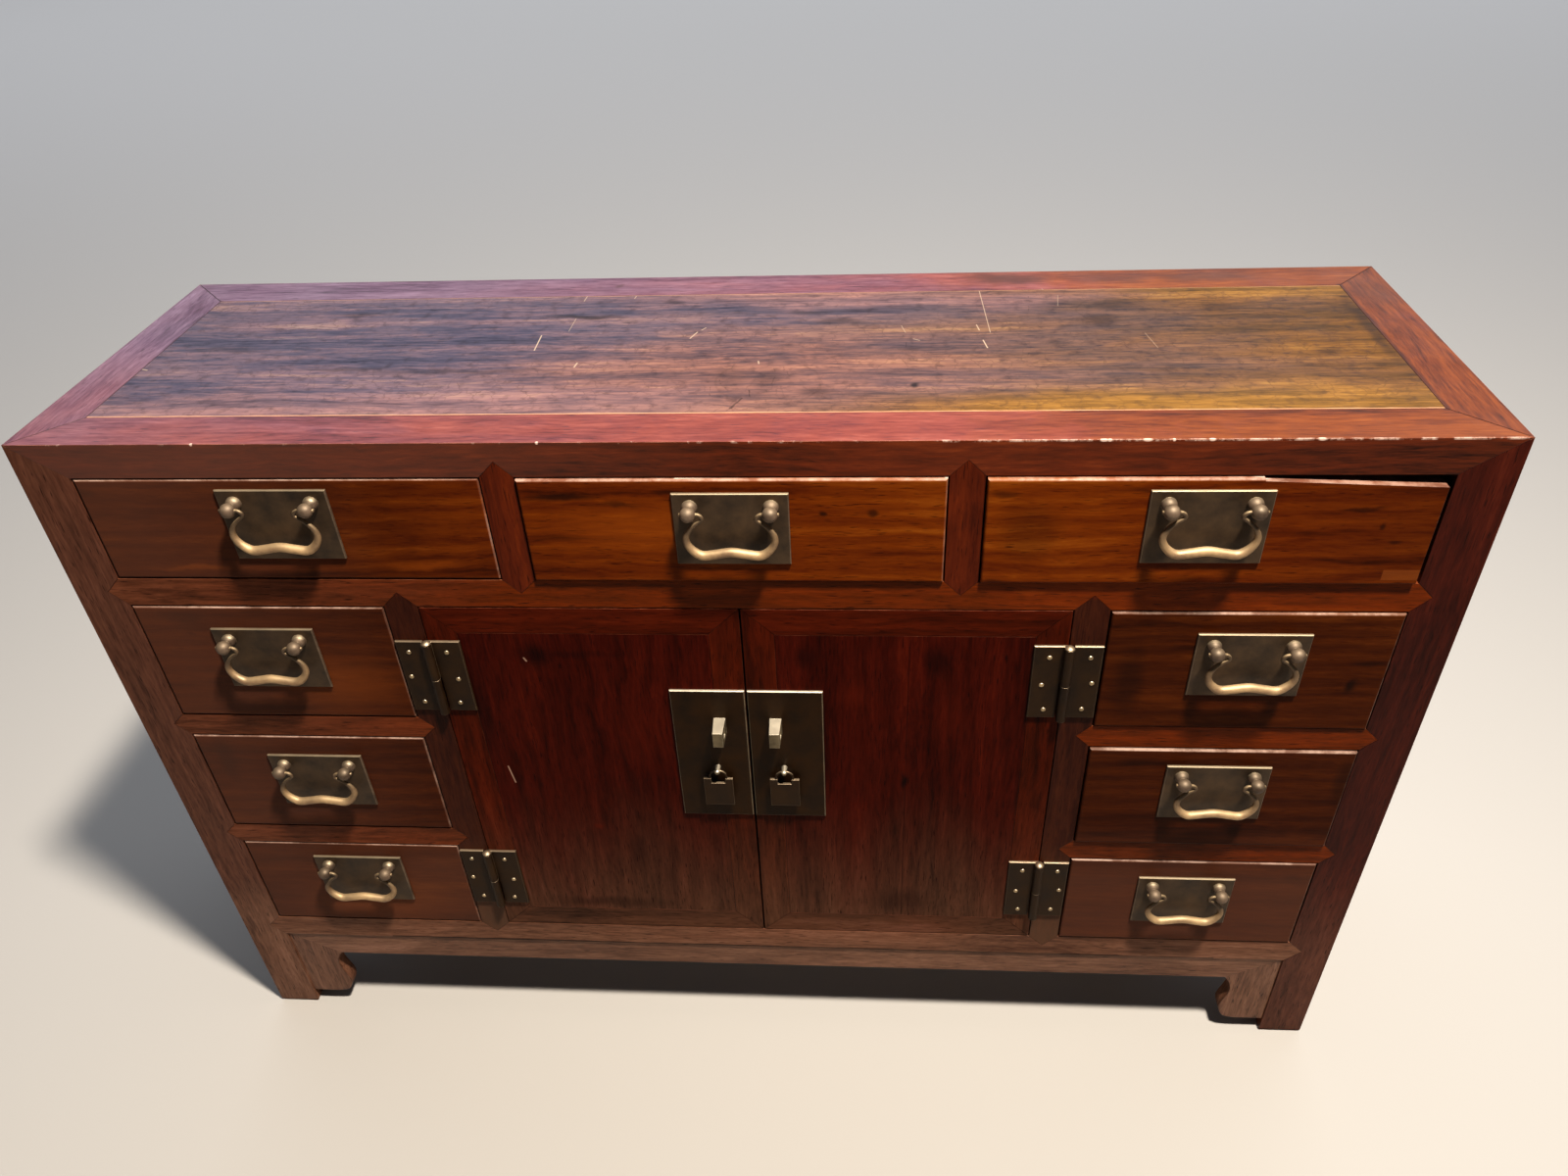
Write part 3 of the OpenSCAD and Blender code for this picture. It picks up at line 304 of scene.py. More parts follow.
def object_place(tree):
    """Object coordinates, whole and in three parts."""
    whole = add(tree, "TexCoord").outputs["Object"]
    return Place(whole, *add(tree, "SeparateXYZ", [whole]).outputs)


def along_grain(tree, place, along, turns):
    """Object coordinates with the grain first, so that every pattern stretches along X."""
    grain = None
    for axis, mask in ((along, None), *turns):
        way = add(tree, "CombineXYZ", [getattr(place, part) for part in ORDER[axis]])
        grain = way if grain is None else add(
            tree, "Mix", {0: mask(tree, place), 4: grain, 5: way}, data_type="VECTOR")
    return grain


def stretched_noise(tree, grain, scale, detail, rough=0.5, distortion=0.0):
    """Noise of a scale of its own along and across the grain."""
    way = add(tree, "Mapping", {"Vector": grain, "Scale": scale})
    return add(tree, "TexNoise", {
        "Vector": way, "Scale": 1.0, "Detail": detail, "Roughness": rough,
        "Distortion": distortion})


def ramp_of(tree, level, tones):
    """A ramp through tones from dark to light, evenly spaced."""
    tones = tones.split()
    return add(tree, "ValToRGB", [level],
               stops=[(k / (len(tones) - 1), tone(t)) for k, t in enumerate(tones)])


def rounded_edges(tree, edge_mm, start, full, most):
    """The normal with rounded edges, and a mask that rises to most on the edges.

    The bevel node rounds edges for the eye, and the difference between the rounded and the flat
    normal tells where they are.
    """
    rounded = add(tree, "Bevel", {"Radius": edge_mm * MM}, samples=6)
    flat = add(tree, "NewGeometry").outputs["Normal"]
    same = add(tree, "VectorMath DOT_PRODUCT", [rounded, flat])
    return rounded, add(tree, "MapRange", [same, start, full, 0.0, most])


def varnished_wood(
        pieces, name, tones, other=None, where=None, along="X", turns=(), pith=(0.0, -0.03, -0.09),
        ring_mm=12.0, rings_share=0.05, streak_share=0.5, fibre_share=0.4, cloud_share=0.5,
        contrast=0.22, edge_wear_and_highlight=None, wear_and_highlight_tone="#c99a78", wear_and_highlight_share=0.6, grime_and_gap_shade=0.4,
        rough=(0.32, 0.5), gloss=0.14, coat=0.08, edge_mm=1.0, marks=None):
    """Wood under old varnish on CAD pieces. Tones are sRGB hex values, from dark to light."""
    material, tree, shader = new_material(name, Coat_Weight=coat, Coat_Roughness=0.12,
                                          Specular_IOR_Level=gloss)
    place = object_place(tree)
    grain = along_grain(tree, place, along, turns)

    # Clouds: broad changes of tone. They also bend the streaks a little.
    cloud = stretched_noise(tree, grain, (2.6, 9.0, 9.0), 4.0, 0.6, 0.6)
    bend = add(tree, "Math MULTIPLY", [cloud, 0.03])
    sideways = add(tree, "CombineXYZ", [0.0, bend, bend])
    bent = add(tree, "VectorMath ADD", [grain, sideways])

    # Streaks: from about 20 mm down to 2 mm wide, some 20 times as long.
    streak = stretched_noise(tree, bent, (2.4, 52.0, 52.0), 5.0, 0.62)

    # Fibres: from 4 mm down to half a millimetre wide, some 10 times as long.
    fibre = stretched_noise(tree, bent, (26.0, 260.0, 260.0), 3.0, 0.7)

    # Rings: a wave round the pith of the tree, which lies beside the board and not quite
    # parallel with it, so that its surface cuts them in long arches.
    slow = add(tree, "Mapping", {
        "Vector": bent, "Location": pith, "Rotation": (0.0, 0.07, 0.05),
        "Scale": (0.22, 1.0, 1.0)})
    rings = add(tree, "TexWave", {
        "Vector": slow, "Scale": RING_AT_SCALE_1 / (ring_mm * MM), "Distortion": 9.0,
        "Detail": 4.0, "Detail Scale": 0.2, "Detail Roughness": 0.7}, wave_type="RINGS",
        rings_direction="X", wave_profile="SIN")

    # Pores: short dark dashes.
    pore = stretched_noise(tree, grain, (60.0, 760.0, 760.0), 1.0)
    pores = add(tree, "MapRange", [pore, 0.64, 0.74, 0.0, 0.8])

    total = add(tree, "Math MULTIPLY", [cloud, cloud_share])
    for pattern, share in ((rings, -rings_share), (streak, streak_share), (fibre, fibre_share)):
        total = add(tree, "Math MULTIPLY_ADD", [pattern, share, total])
    middle = (cloud_share - rings_share + streak_share + fibre_share) / 2
    level = add(tree, "MapRange", [total, middle - contrast, middle + contrast])
    colour = ramp_of(tree, level, tones)
    if other:
        colour = cover(tree, colour, where(tree, place, cloud), ramp_of(tree, level, other))
    colour = cover(tree, colour, pores, tones.split()[0])
    if marks:
        colour = marks(tree, colour, place, level)

    # Edges and joints are darkened, for dirt and for a painted shade in the hairline gaps between
    # parts, and the varnish is rubbed through where hands and cloths pass.
    rounded, edge = rounded_edges(tree, edge_mm, 0.995, 0.86, 1.0)
    dirt_and_gap_shade = add(tree, "Math MULTIPLY", [edge, grime_and_gap_shade])
    colour = cover(tree, colour, dirt_and_gap_shade, "#140705")
    # On upper edges the pale tone is worn varnish and also a painted highlight.
    if edge_wear_and_highlight:
        rub = add(tree, "TexNoise", {
            "Vector": place.whole, "Scale": 30.0, "Detail": 5.0, "Roughness": 0.7})
        bare_and_lit = add(tree, "MapRange", [rub, 0.42, 0.6, 0.15, wear_and_highlight_share])
        shown = add(tree, "Math MULTIPLY", [edge_wear_and_highlight(tree, place, rounded, edge), bare_and_lit])
        colour = cover(tree, colour, shown, wear_and_highlight_tone)

    # Varnish: smooth where it is whole, duller in patches, with a slight ripple.
    patch = add(tree, "TexNoise", {
        "Vector": place.whole, "Scale": 9.0, "Detail": 5.0, "Roughness": 0.6})
    sheen = add(tree, "MapRange", [patch, 0.3, 0.7, rough[0], rough[1]])
    hollow = add(tree, "Math MULTIPLY_ADD", [pores, -0.6, streak])
    relief = add(tree, "Math MULTIPLY_ADD", [patch, 1.6, hollow])
    bump = add(tree, "Bump", {
        "Strength": 0.2, "Distance": 0.0006, "Height": relief, "Normal": rounded})
    feed(tree, shader, {
        "Base Color": colour, "Roughness": sheen, "Normal": bump, "Coat Normal": bump})
    dress(material, pieces)


def dress(material, names):
    """Gives a material to CAD pieces, in the slots that they have."""
    for name in names:
        mesh = nodes[name].data
        if not mesh.materials:
            mesh.materials.append(material)
        for k in range(len(mesh.materials)):
            mesh.materials[k] = material
    print(material.name, "on", *names)


# %% [markdown]
# ## Where edges are worn, and where they get a painted highlight
# On the case the outer edges are rubbed and the joints are not. An outer edge is where two of
# three things are true: near an end, near the front or back, near the top. On drawers and doors
# the upper front edge catches knees and cloths, and its pale tone is also a painted highlight of
# the lamp above and to the right, so there the rounded normal decides.

# %% Two kinds of wear
# The part of the top panel that shows, in millimetres: its edges are tongues in the frame.
TONGUE = Vector((8, 8, 0))
PANEL_LOW, PANEL_HIGH = [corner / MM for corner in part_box("top_panel")]
PANEL_LOW, PANEL_HIGH = PANEL_LOW + TONGUE, PANEL_HIGH - TONGUE
LEG_W = HALF_W - 1.5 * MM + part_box("left_upper_front")[0].x
LEG_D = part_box("side_panels")[0].y - FACE_Y + 8 * MM
# The case across and from front to back: the axis, its two ends and a leg's size along it.
CASE_SPANS = (("x", -HALF_W, HALF_W, LEG_W), ("y", FACE_Y, BACK_Y, LEG_D))
NEAR = 2.5 * MM
print("legs", round(LEG_W / MM, 1), "x", round(LEG_D / MM, 1), "mm")


def from_middle(tree, place, axis, low, high):
    """How far a place is from the middle between two ends."""
    off = add(tree, "Math SUBTRACT", [getattr(place, axis), (low + high) / 2])
    return add(tree, "Math ABSOLUTE", [off])


def outer_edges(tree, place, rounded, edge):
    """1 on the outer edges of the case."""
    count = add(tree, "Math GREATER_THAN", [place.z, TOP_Z - NEAR])
    for axis, low, high, leg in CASE_SPANS:
        off = from_middle(tree, place, axis, low, high)
        outside = add(tree, "Math GREATER_THAN", [off, (high - low) / 2 - NEAR])
        count = add(tree, "Math ADD", [count, outside])
    enough = add(tree, "Math GREATER_THAN", [count, 1.5])
    return add(tree, "Math MULTIPLY", [enough, edge])


def lit_and_worn_upper_edges(tree, place, rounded, edge):
    """1 where the rounded surface faces up and to the front, less where it faces right."""
    # The pale tone laid on this mask is worn varnish and also a painted highlight of the lamp.
    facing = []
    for way, power in (((0.0, -0.5, 0.87), 1.0), ((0.87, -0.5, 0.0), 0.45)):
        dot = add(tree, "VectorMath DOT_PRODUCT", [rounded, way])
        facing.append(add(tree, "MapRange", [dot, 0.72, 0.95, 0.0, power]))
    return strongest(tree, facing)


# %% [markdown]
# ## The case
# Legs and uprights have upright grain, rails have level grain. The top frame is mitred, so its
# grain turns at each corner: the mitre is where the distance from the end and the distance from
# the front or back are the same share of a leg's width and depth. Near the floor and at the left
# end the wood is paler and greyer; at the left end that grey is dust and a painted sheen of the
# sky.

# %% Legs, rails, uprights and aprons
FRAME_TONES = "#1d0804 #36120a #491a0e #5a2515"
FOOT_TONES = "#39231b #604233 #7e5b48 #96705e"
CASE_GRAIN = {"fibre_share": 0.6, "streak_share": 0.35, "contrast": 0.28}
BRACKET_SLOPE = 1.63
BRACKET_TOP = 150 * MM


def nearer(tree, place, *spans):
    """1 where a place is nearer to the ends of the first span than to those of the second.

    Each distance is counted in the unit that ends its span.
    """
    shares = []
    for axis, low, high, unit in spans:
        off = from_middle(tree, place, axis, low, high)
        inward = add(tree, "Math SUBTRACT", [(high - low) / 2, off])
        shares.append(add(tree, "Math MULTIPLY", [inward, 1 / unit]))
    return add(tree, "Math LESS_THAN", shares)


def end_members(tree, place):
    """1 on the short rails of the top frame, 0 on the long ones."""
    return nearer(tree, place, *CASE_SPANS)


def at_the_ends(tree, place):
    """1 on pieces that run from front to back at the two ends of the case."""
    across = from_middle(tree, place, "x", -HALF_W, HALF_W)
    return add(tree, "Math GREATER_THAN", [across, HALF_W - LEG_W + 0.5 * MM])


def in_brackets(tree, place):
    """1 on the brackets, which stand under the aprons beside the legs."""
    beside = []
    for axis, low, high, leg in CASE_SPANS:
        off = from_middle(tree, place, axis, low, high)
        # The joint between bracket and apron slopes, so its place depends on the height.
        lean = add(tree, "Math MULTIPLY_ADD", [place.z, -BRACKET_SLOPE, off])
        reach = (high - low) / 2 - leg - BRACKET_SLOPE * BRACKET_TOP
        beside.append(add(tree, "Math GREATER_THAN", [lean, reach]))
    return add(tree, "Math MULTIPLY", beside)


def greyer_low_and_left(at_right):
    """Rises towards the floor, by at_right at the right end, and a little at the left end."""
    def where(tree, place, cloud):
        height = add(tree, "Math MULTIPLY_ADD", [cloud, 0.2, place.z])
        low = add(tree, "MapRange", [height, 0.46, 0.26], interpolation_type="SMOOTHSTEP")
        share = add(tree, "MapRange", [place.x, -0.5, 0.6, 0.95, at_right])
        # At the left end the grey stands for dust and a painted sheen of the sky.
        across = add(tree, "Math MULTIPLY_ADD", [cloud, 0.3, place.x])
        left = add(tree, "MapRange", [across, -0.1, -0.6, 0.0, 0.55])
        return strongest(tree, [add(tree, "Math MULTIPLY", [low, share]), left])
    return where


def below_the_top_row(tree, place, cloud):
    """1 below the long rail under the top drawers."""
    return add(tree, "MapRange", [place.z, 0.725, 0.715])


def shadow_under_rail(tree, colour, place, level):
    """A dark, uneven painted shadow in the gap where the aprons meet the rails above them."""
    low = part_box("front_rails")[0].z / MM
    line = scratches(tree, uneven(tree, place, 1.6, 12.0), on_front,
                     [((-500, low), (560, low - 1), 4.5, 0.85)])
    return cover(tree, colour, line, "#140805")


def low_dust(tree, colour, place, level):
    """Grey dust on the lower end of an upright."""
    dust_and_sheen = add(tree, "MapRange", [place.z, 0.36, 0.2, 0.0, 0.4])
    return cover(tree, colour, dust_and_sheen, "#765c48")


varnished_wood(
    ["corner_posts", "side_panels"], "varnished_rosewood_upright", FRAME_TONES, FOOT_TONES,
    greyer_low_and_left(0.3), along="Z", edge_wear_and_highlight=outer_edges, wear_and_highlight_share=0.4, gloss=0.08, coat=0.05, **CASE_GRAIN)
varnished_wood(
    ["front_rails"], "varnished_rosewood_level", "#280e03 #552405 #6e2e06 #843d0b", FOOT_TONES,
    greyer_low_and_left(0.95), pith=(0.0, 0.02, -0.06), edge_wear_and_highlight=lit_and_worn_upper_edges, wear_and_highlight_tone="#b98062", wear_and_highlight_share=0.4,
    gloss=0.06, coat=0.03, marks=shadow_under_rail, **CASE_GRAIN)
varnished_wood(
    ["front_dividers"], "varnished_rosewood_divider", "#200a04 #481a0a #5c240d #70300f",
    "#1a0a04 #34150b #452010 #562b18", below_the_top_row, along="Z", edge_wear_and_highlight=lit_and_worn_upper_edges,
    wear_and_highlight_tone="#8a5a44", wear_and_highlight_share=0.4, gloss=0.06, coat=0.03, marks=low_dust, **CASE_GRAIN)
varnished_wood(
    ["side_and_back_rails"], "varnished_rosewood_to_the_back", FRAME_TONES, FOOT_TONES,
    greyer_low_and_left(0.6), turns=[("Y", at_the_ends)])
varnished_wood(
    ["aprons"], "varnished_rosewood_apron", FRAME_TONES, FOOT_TONES, greyer_low_and_left(1.0),
    turns=[("Y", at_the_ends), ("Z", in_brackets)], marks=shadow_under_rail, **CASE_GRAIN)


def left_to_right(tree, place, cloud):
    """Rises from the left end to the right end and to the front, with a cloudy limit."""
    across = add(tree, "Math MULTIPLY_ADD", [cloud, 1.4, place.x])
    to_front = add(tree, "MapRange", [place.y, BACK_Y - 60 * MM, FACE_Y + 30 * MM, -0.1, 0.65])
    held = add(tree, "Math ADD", [across, to_front])
    return add(tree, "MapRange", [held, 0.05, 1.3], interpolation_type="SMOOTHSTEP")


def top_frame_marks(tree, colour, place, level):
    """Orange-brown at the right, as brown as the rails on its face, and chipped in front."""
    blotch = add(tree, "TexNoise", {
        "Vector": place.whole, "Scale": 11.0, "Detail": 4.0, "Roughness": 0.65})
    across = add(tree, "Math MULTIPLY_ADD", [blotch, 0.5, place.x])
    at_right = add(tree, "MapRange", [across, 0.4, 0.72], interpolation_type="SMOOTHSTEP")
    colour = cover(tree, colour, at_right,
                   ramp_of(tree, level, "#2b1204 #57280b #6e3811 #80471a"))
    dim = add(tree, "MapRange", [blotch, 0.55, 0.75, 0.0, 0.3])
    colour = cover(tree, colour, dim, "#4a2636")
    dark = stains(tree, uneven(tree, place, 8.0, 20.0), on_top, [
        (290, 380, 64, 26, 0.7), (-170, 380, 8, 8, 0.5), (400, 380, 90, 24, 0.4),
        (510, 380, 90, 24, 0.5), (672, 330, 40, 60, 0.45)])
    colour = cover(tree, colour, dark, "#3a2520")
    # The upright face has no painted sky reflection, so it is brown like the rails; to the left it
    # greys with dust and a painted sheen.
    normal = add(tree, "SeparateXYZ", [add(tree, "NewGeometry").outputs["True Normal"]])
    upright = add(tree, "MapRange", [normal.outputs["Z"], 0.7, 0.3])
    face = ramp_of(tree, level, "#240c05 #4b1f0b #60280e #733515")
    dust_and_sheen = add(tree, "MapRange", [place.x, 0.0, -0.5, 0.0, 0.42])
    colour = cover(tree, colour, upright, cover(tree, face, dust_and_sheen, "#6e5048"))
    # Thin dark lines where the members meet, and a painted shade in the groove along the right
    # panel edge.
    wander = uneven(tree, place, 0.7, 90.0)
    low, high = PANEL_LOW, PANEL_HIGH
    front, top = FACE_MM, TOP_MM
    seams_and_groove_shade = [scratch(tree, wander, (x, y, top), (end_x / MM, end_y / MM, top), 1.8, power)
             for x, end_x, power in ((low.x, -HALF_W, 0.35), (high.x, HALF_W, 0.5))
             for y, end_y in ((low.y, FACE_Y), (high.y, BACK_Y))]
    seams_and_groove_shade += [scratch(tree, wander, (x, low.y, top), (x, high.y, top), width, power)
              for x, width, power in ((high.x, 7.0, 0.65), (low.x, 3.0, 0.4))]
    colour = cover(tree, colour, strongest(tree, seams_and_groove_shade), "#24100e")
    # The front edge is rubbed to bare wood, most of all at the right, where it is chipped.
    worn = add(tree, "TexNoise", {
        "Vector": place.whole, "Scale": 80.0, "Detail": 4.0, "Roughness": 0.75})
    to_right = add(tree, "MapRange", [place.x, -0.1, 0.4, 0.62, 0.46])
    past = add(tree, "Math SUBTRACT", [worn, to_right])
    bare_and_lit = add(tree, "MapRange", [past, -0.02, 0.14])
    edge = scratch(tree, place.whole, (-HALF_W / MM, front, top - 0.4),
                   (HALF_W / MM, front, top - 0.4), 2.6, 0.75)
    chips = [stain(tree, place.whole, (x, front + 0.6, top - 0.6), (r, 2, 2), 0.5, 1.0)
             for x, r in ((334, 5), (339, 3), (372, 6), (395, 2), (428, 4), (522, 5), (-512, 2),
                          (-180, 2))]
    shown = strongest(tree, [add(tree, "Math MULTIPLY", [edge, bare_and_lit]), *chips])
    return cover(tree, colour, shown, "#d6bdaf")


# The purple tones at the left and back are a painted reflection of the sky; the red ones take over
# towards the right and front.
varnished_wood(
    ["top_frame"], "varnished_rosewood_sunlit", "#31202d #553e53 #6d576b #816c82",
    "#3c1a18 #662f2a #7c3f36 #8d5146", left_to_right, turns=[("Y", end_members)],
    fibre_share=0.7, contrast=0.26, edge_wear_and_highlight=outer_edges, wear_and_highlight_tone="#cf9480", grime_and_gap_shade=0.3,
    marks=top_frame_marks)

# %% [markdown]
# ## The streaked top panel
# The panel is another wood than the frame. Its old stain has worn off in streaks, golden at the
# right and along the long edges, and its bluish tint at the left is a painted reflection of the
# sky. Pots have left rings and dark spots, and things dragged over it have left pale scratches.
# We look at the photograph and place the largest ones.

# %% Top panel
def golden_parts(tree, place, cloud):
    """Rises to the right and towards the front and back edges."""
    across = add(tree, "Math MULTIPLY_ADD", [cloud, 0.9, place.x])
    right_part = add(tree, "MapRange", [across, 0.1, 1.25], interpolation_type="SMOOTHSTEP")
    wander = uneven(tree, place, 7.0, 14.0)
    bands = [stain(tree, wander, (x, y, TOP_MM), (wide, deep, THROUGH_TOP), 0.8, 1.0)
             for x, y, wide, deep in ((440, PANEL_LOW.y, 850, 85), (430, PANEL_HIGH.y, 680, 42))]
    return strongest(tree, [right_part, *bands])


def panel_marks(tree, colour, place, level):
    """Dark stains, rings, pale scratches and specks."""
    # The middle of the board is a paler, pinkish brown. Pale bands lie along the front edge at
    # the left and the back edge in the middle, golden ones along both edges at the right.
    roam = uneven(tree, place, 22.0, 7.0)
    for spots, soft, tones in (
            ([(10, 150, 380, 130, 0.75)], 0.9, "#251d26 #533c3a #825a4d #a0745f"),
            ([(-300, 66, 560, 60, 0.65), (120, 332, 420, 48, 0.7)], 0.8,
             "#3a2a2e #6e5456 #906b67 #a98476"),
            ([(450, 68, 360, 56, 0.7), (560, 335, 180, 34, 0.6)], 0.8,
             "#3a2911 #6a4d22 #8e6830 #ae8441")):
        colour = cover(tree, colour, stains(tree, roam, on_top, spots, soft),
                       ramp_of(tree, level, tones))

    # Smudges: blotches of old stain, some 12 mm across, and a net of fine cracks in the lacquer.
    smudge = add(tree, "TexNoise", {
        "Vector": place.whole, "Scale": 75.0, "Detail": 4.0, "Roughness": 0.6})
    dim = add(tree, "MapRange", [smudge, 0.52, 0.72, 0.0, 0.45])
    colour = cover(tree, colour, dim, "#221a20")
    net = add(tree, "TexVoronoi", {
        "Vector": uneven(tree, place, 5.0, 60.0), "Scale": 38.0}, feature="DISTANCE_TO_EDGE")
    thin = add(tree, "MapRange", [net, 0.012, 0.035, 0.3, 0.0])
    some = add(tree, "MapRange", [level, 0.35, 0.75])
    colour = cover(tree, colour, add(tree, "Math MULTIPLY", [thin, some]), "#1a1012")

    # The joint with the front and back rails has a raised rim that is rubbed bright.
    straight = uneven(tree, place, 0.6, 50.0)
    left, right_end = PANEL_LOW.x, PANEL_HIGH.x
    rims = [scratch(tree, straight, (left, y, TOP_MM), (right_end, y, TOP_MM), 4.0, power)
            for y, power in ((PANEL_LOW.y, 0.7), (PANEL_HIGH.y, 0.3))]
    colour = cover(tree, colour, strongest(tree, rims), "#c79a78")

    wander = uneven(tree, place, 6.0, 22.0)
    dark = stains(tree, wander, on_top, [
        (-193, 287, 62, 9, 0.75), (-455, 300, 40, 10, 0.45), (-300, 150, 150, 9, 0.4),
        (60, 290, 30, 7, 0.45), (90, 262, 36, 12, 0.45), (398, 298, 44, 20, 0.5),
        (372, 262, 30, 22, 0.5), (640, 230, 12, 120, 0.5), (168, 110, 7, 7, 0.9),
        (72, 98, 26, 16, 0.45), (-12, 132, 30, 44, 0.3), (22, 128, 22, 36, 0.35),
        (582, 176, 20, 12, 0.5), (320, 208, 16, 12, 0.4), (-575, 210, 60, 12, 0.35),
        (-420, 158, 70, 7, 0.45), (-98, 325, 14, 7, 0.5), (500, 290, 24, 16, 0.35)])
    colour = cover(tree, colour, dark, "#1b1518")
    rings = [ring_mark(tree, wander, on_top(24, 118), 52, 2.5, 0.16),
             ring_mark(tree, wander, on_top(395, 285), 40, 2.0, 0.2)]
    colour = cover(tree, colour, strongest(tree, rings), "#2a1a14")
    pale = scratches(tree, place.whole, on_top, [
        ((-231, 238), (-230, 200), 1.9, 0.9), ((-202, 349), (-203, 332), 1.6, 0.6),
        ((-202, 283), (-203, 248), 1.4, 0.45), ((-60, 242), (-66, 226), 2.0, 0.8),
        ((-52, 253), (-56, 247), 1.8, 0.7), ((250, 345), (253, 232), 1.3, 0.6),
        ((240, 252), (242, 238), 1.8, 0.7), ((244, 213), (247, 194), 1.8, 0.9),
        ((160, 252), (164, 234), 1.3, 0.5), ((172, 218), (178, 214), 2.0, 0.5),
        ((-177, 168), (-178, 158), 2.4, 0.8), ((-532, 272), (-470, 262), 1.6, 0.45),
        ((-528, 262), (-478, 282), 1.4, 0.35), ((-545, 236), (-486, 240), 1.4, 0.3),
        ((-648, 164), (-640, 161), 2.4, 0.7), ((12, 168), (13, 162), 2.2, 0.7),
        ((-144, 345), (-145, 338), 1.6, 0.6), ((412, 226), (418, 190), 1.1, 0.35),
        ((336, 330), (332, 300), 1.1, 0.35), ((-420, 62), (-332, 58), 1.2, 0.3)],
        thinner=0.7, fainter=0.75)
    colour = cover(tree, colour, pale, "#b9a690")
    cracks = scratches(tree, wander, on_top, [
        ((-600, 262), (-420, 270), 1.2, 0.5), ((282, 250), (288, 160), 1.0, 0.35),
        ((300, 330), (296, 280), 1.2, 0.4), ((-20, 75), (-24, 150), 1.1, 0.45),
        ((-33, 90), (-36, 140), 1.0, 0.4), ((12, 58), (8, 138), 1.6, 0.6),
        ((26, 96), (30, 150), 1.0, 0.4), ((44, 120), (40, 170), 1.0, 0.35),
        ((-4, 64), (2, 82), 2.2, 0.6), ((160, 250), (164, 180), 1.0, 0.35)])
    return cover(tree, colour, cracks, "#1a100c")


# The bluish main tones stand for a painted reflection of the sky; golden tones take over to the
# right and along the edges.
varnished_wood(
    ["top_panel"], "sunworn_camphor_board", "#1d1e2e #423f51 #69565f #8b7268",
    "#221606 #463010 #64441b #82602b", golden_parts, rings_share=0.03, streak_share=0.75,
    fibre_share=0.5, cloud_share=0.45, contrast=0.27, grime_and_gap_shade=0.15, rough=(0.42, 0.58), gloss=0.1,
    coat=0.03, marks=panel_marks)

# %% [markdown]
# ## Drawer fronts and doors
# The drawer fronts are orange-brown, brightest in the middle of the top row and nearly black at
# the sides, where smoke and hands have darkened them. Their upper front edges are rubbed to pale
# wood and carry a painted highlight. The doors are stained deep red-brown, and their lower part
# is greyer, with dust and a painted sheen of the pale floor.

# %% Drawer fronts
PATCH_POWER = 0.45


def smoked_parts(tree, place, cloud):
    """Rises to 1 on the side drawers and at the left of the top row."""
    across = add(tree, "Math MULTIPLY_ADD", [cloud, 0.25, place.x])
    return strongest(tree, [add(tree, "MapRange", [place.z, 0.73, 0.715, 0.0, 0.8]),
                            add(tree, "MapRange", [across, -0.08, -0.3, 0.0, 0.75]),
                            add(tree, "MapRange", [across, 0.6, 0.85, 0.0, 0.5])])


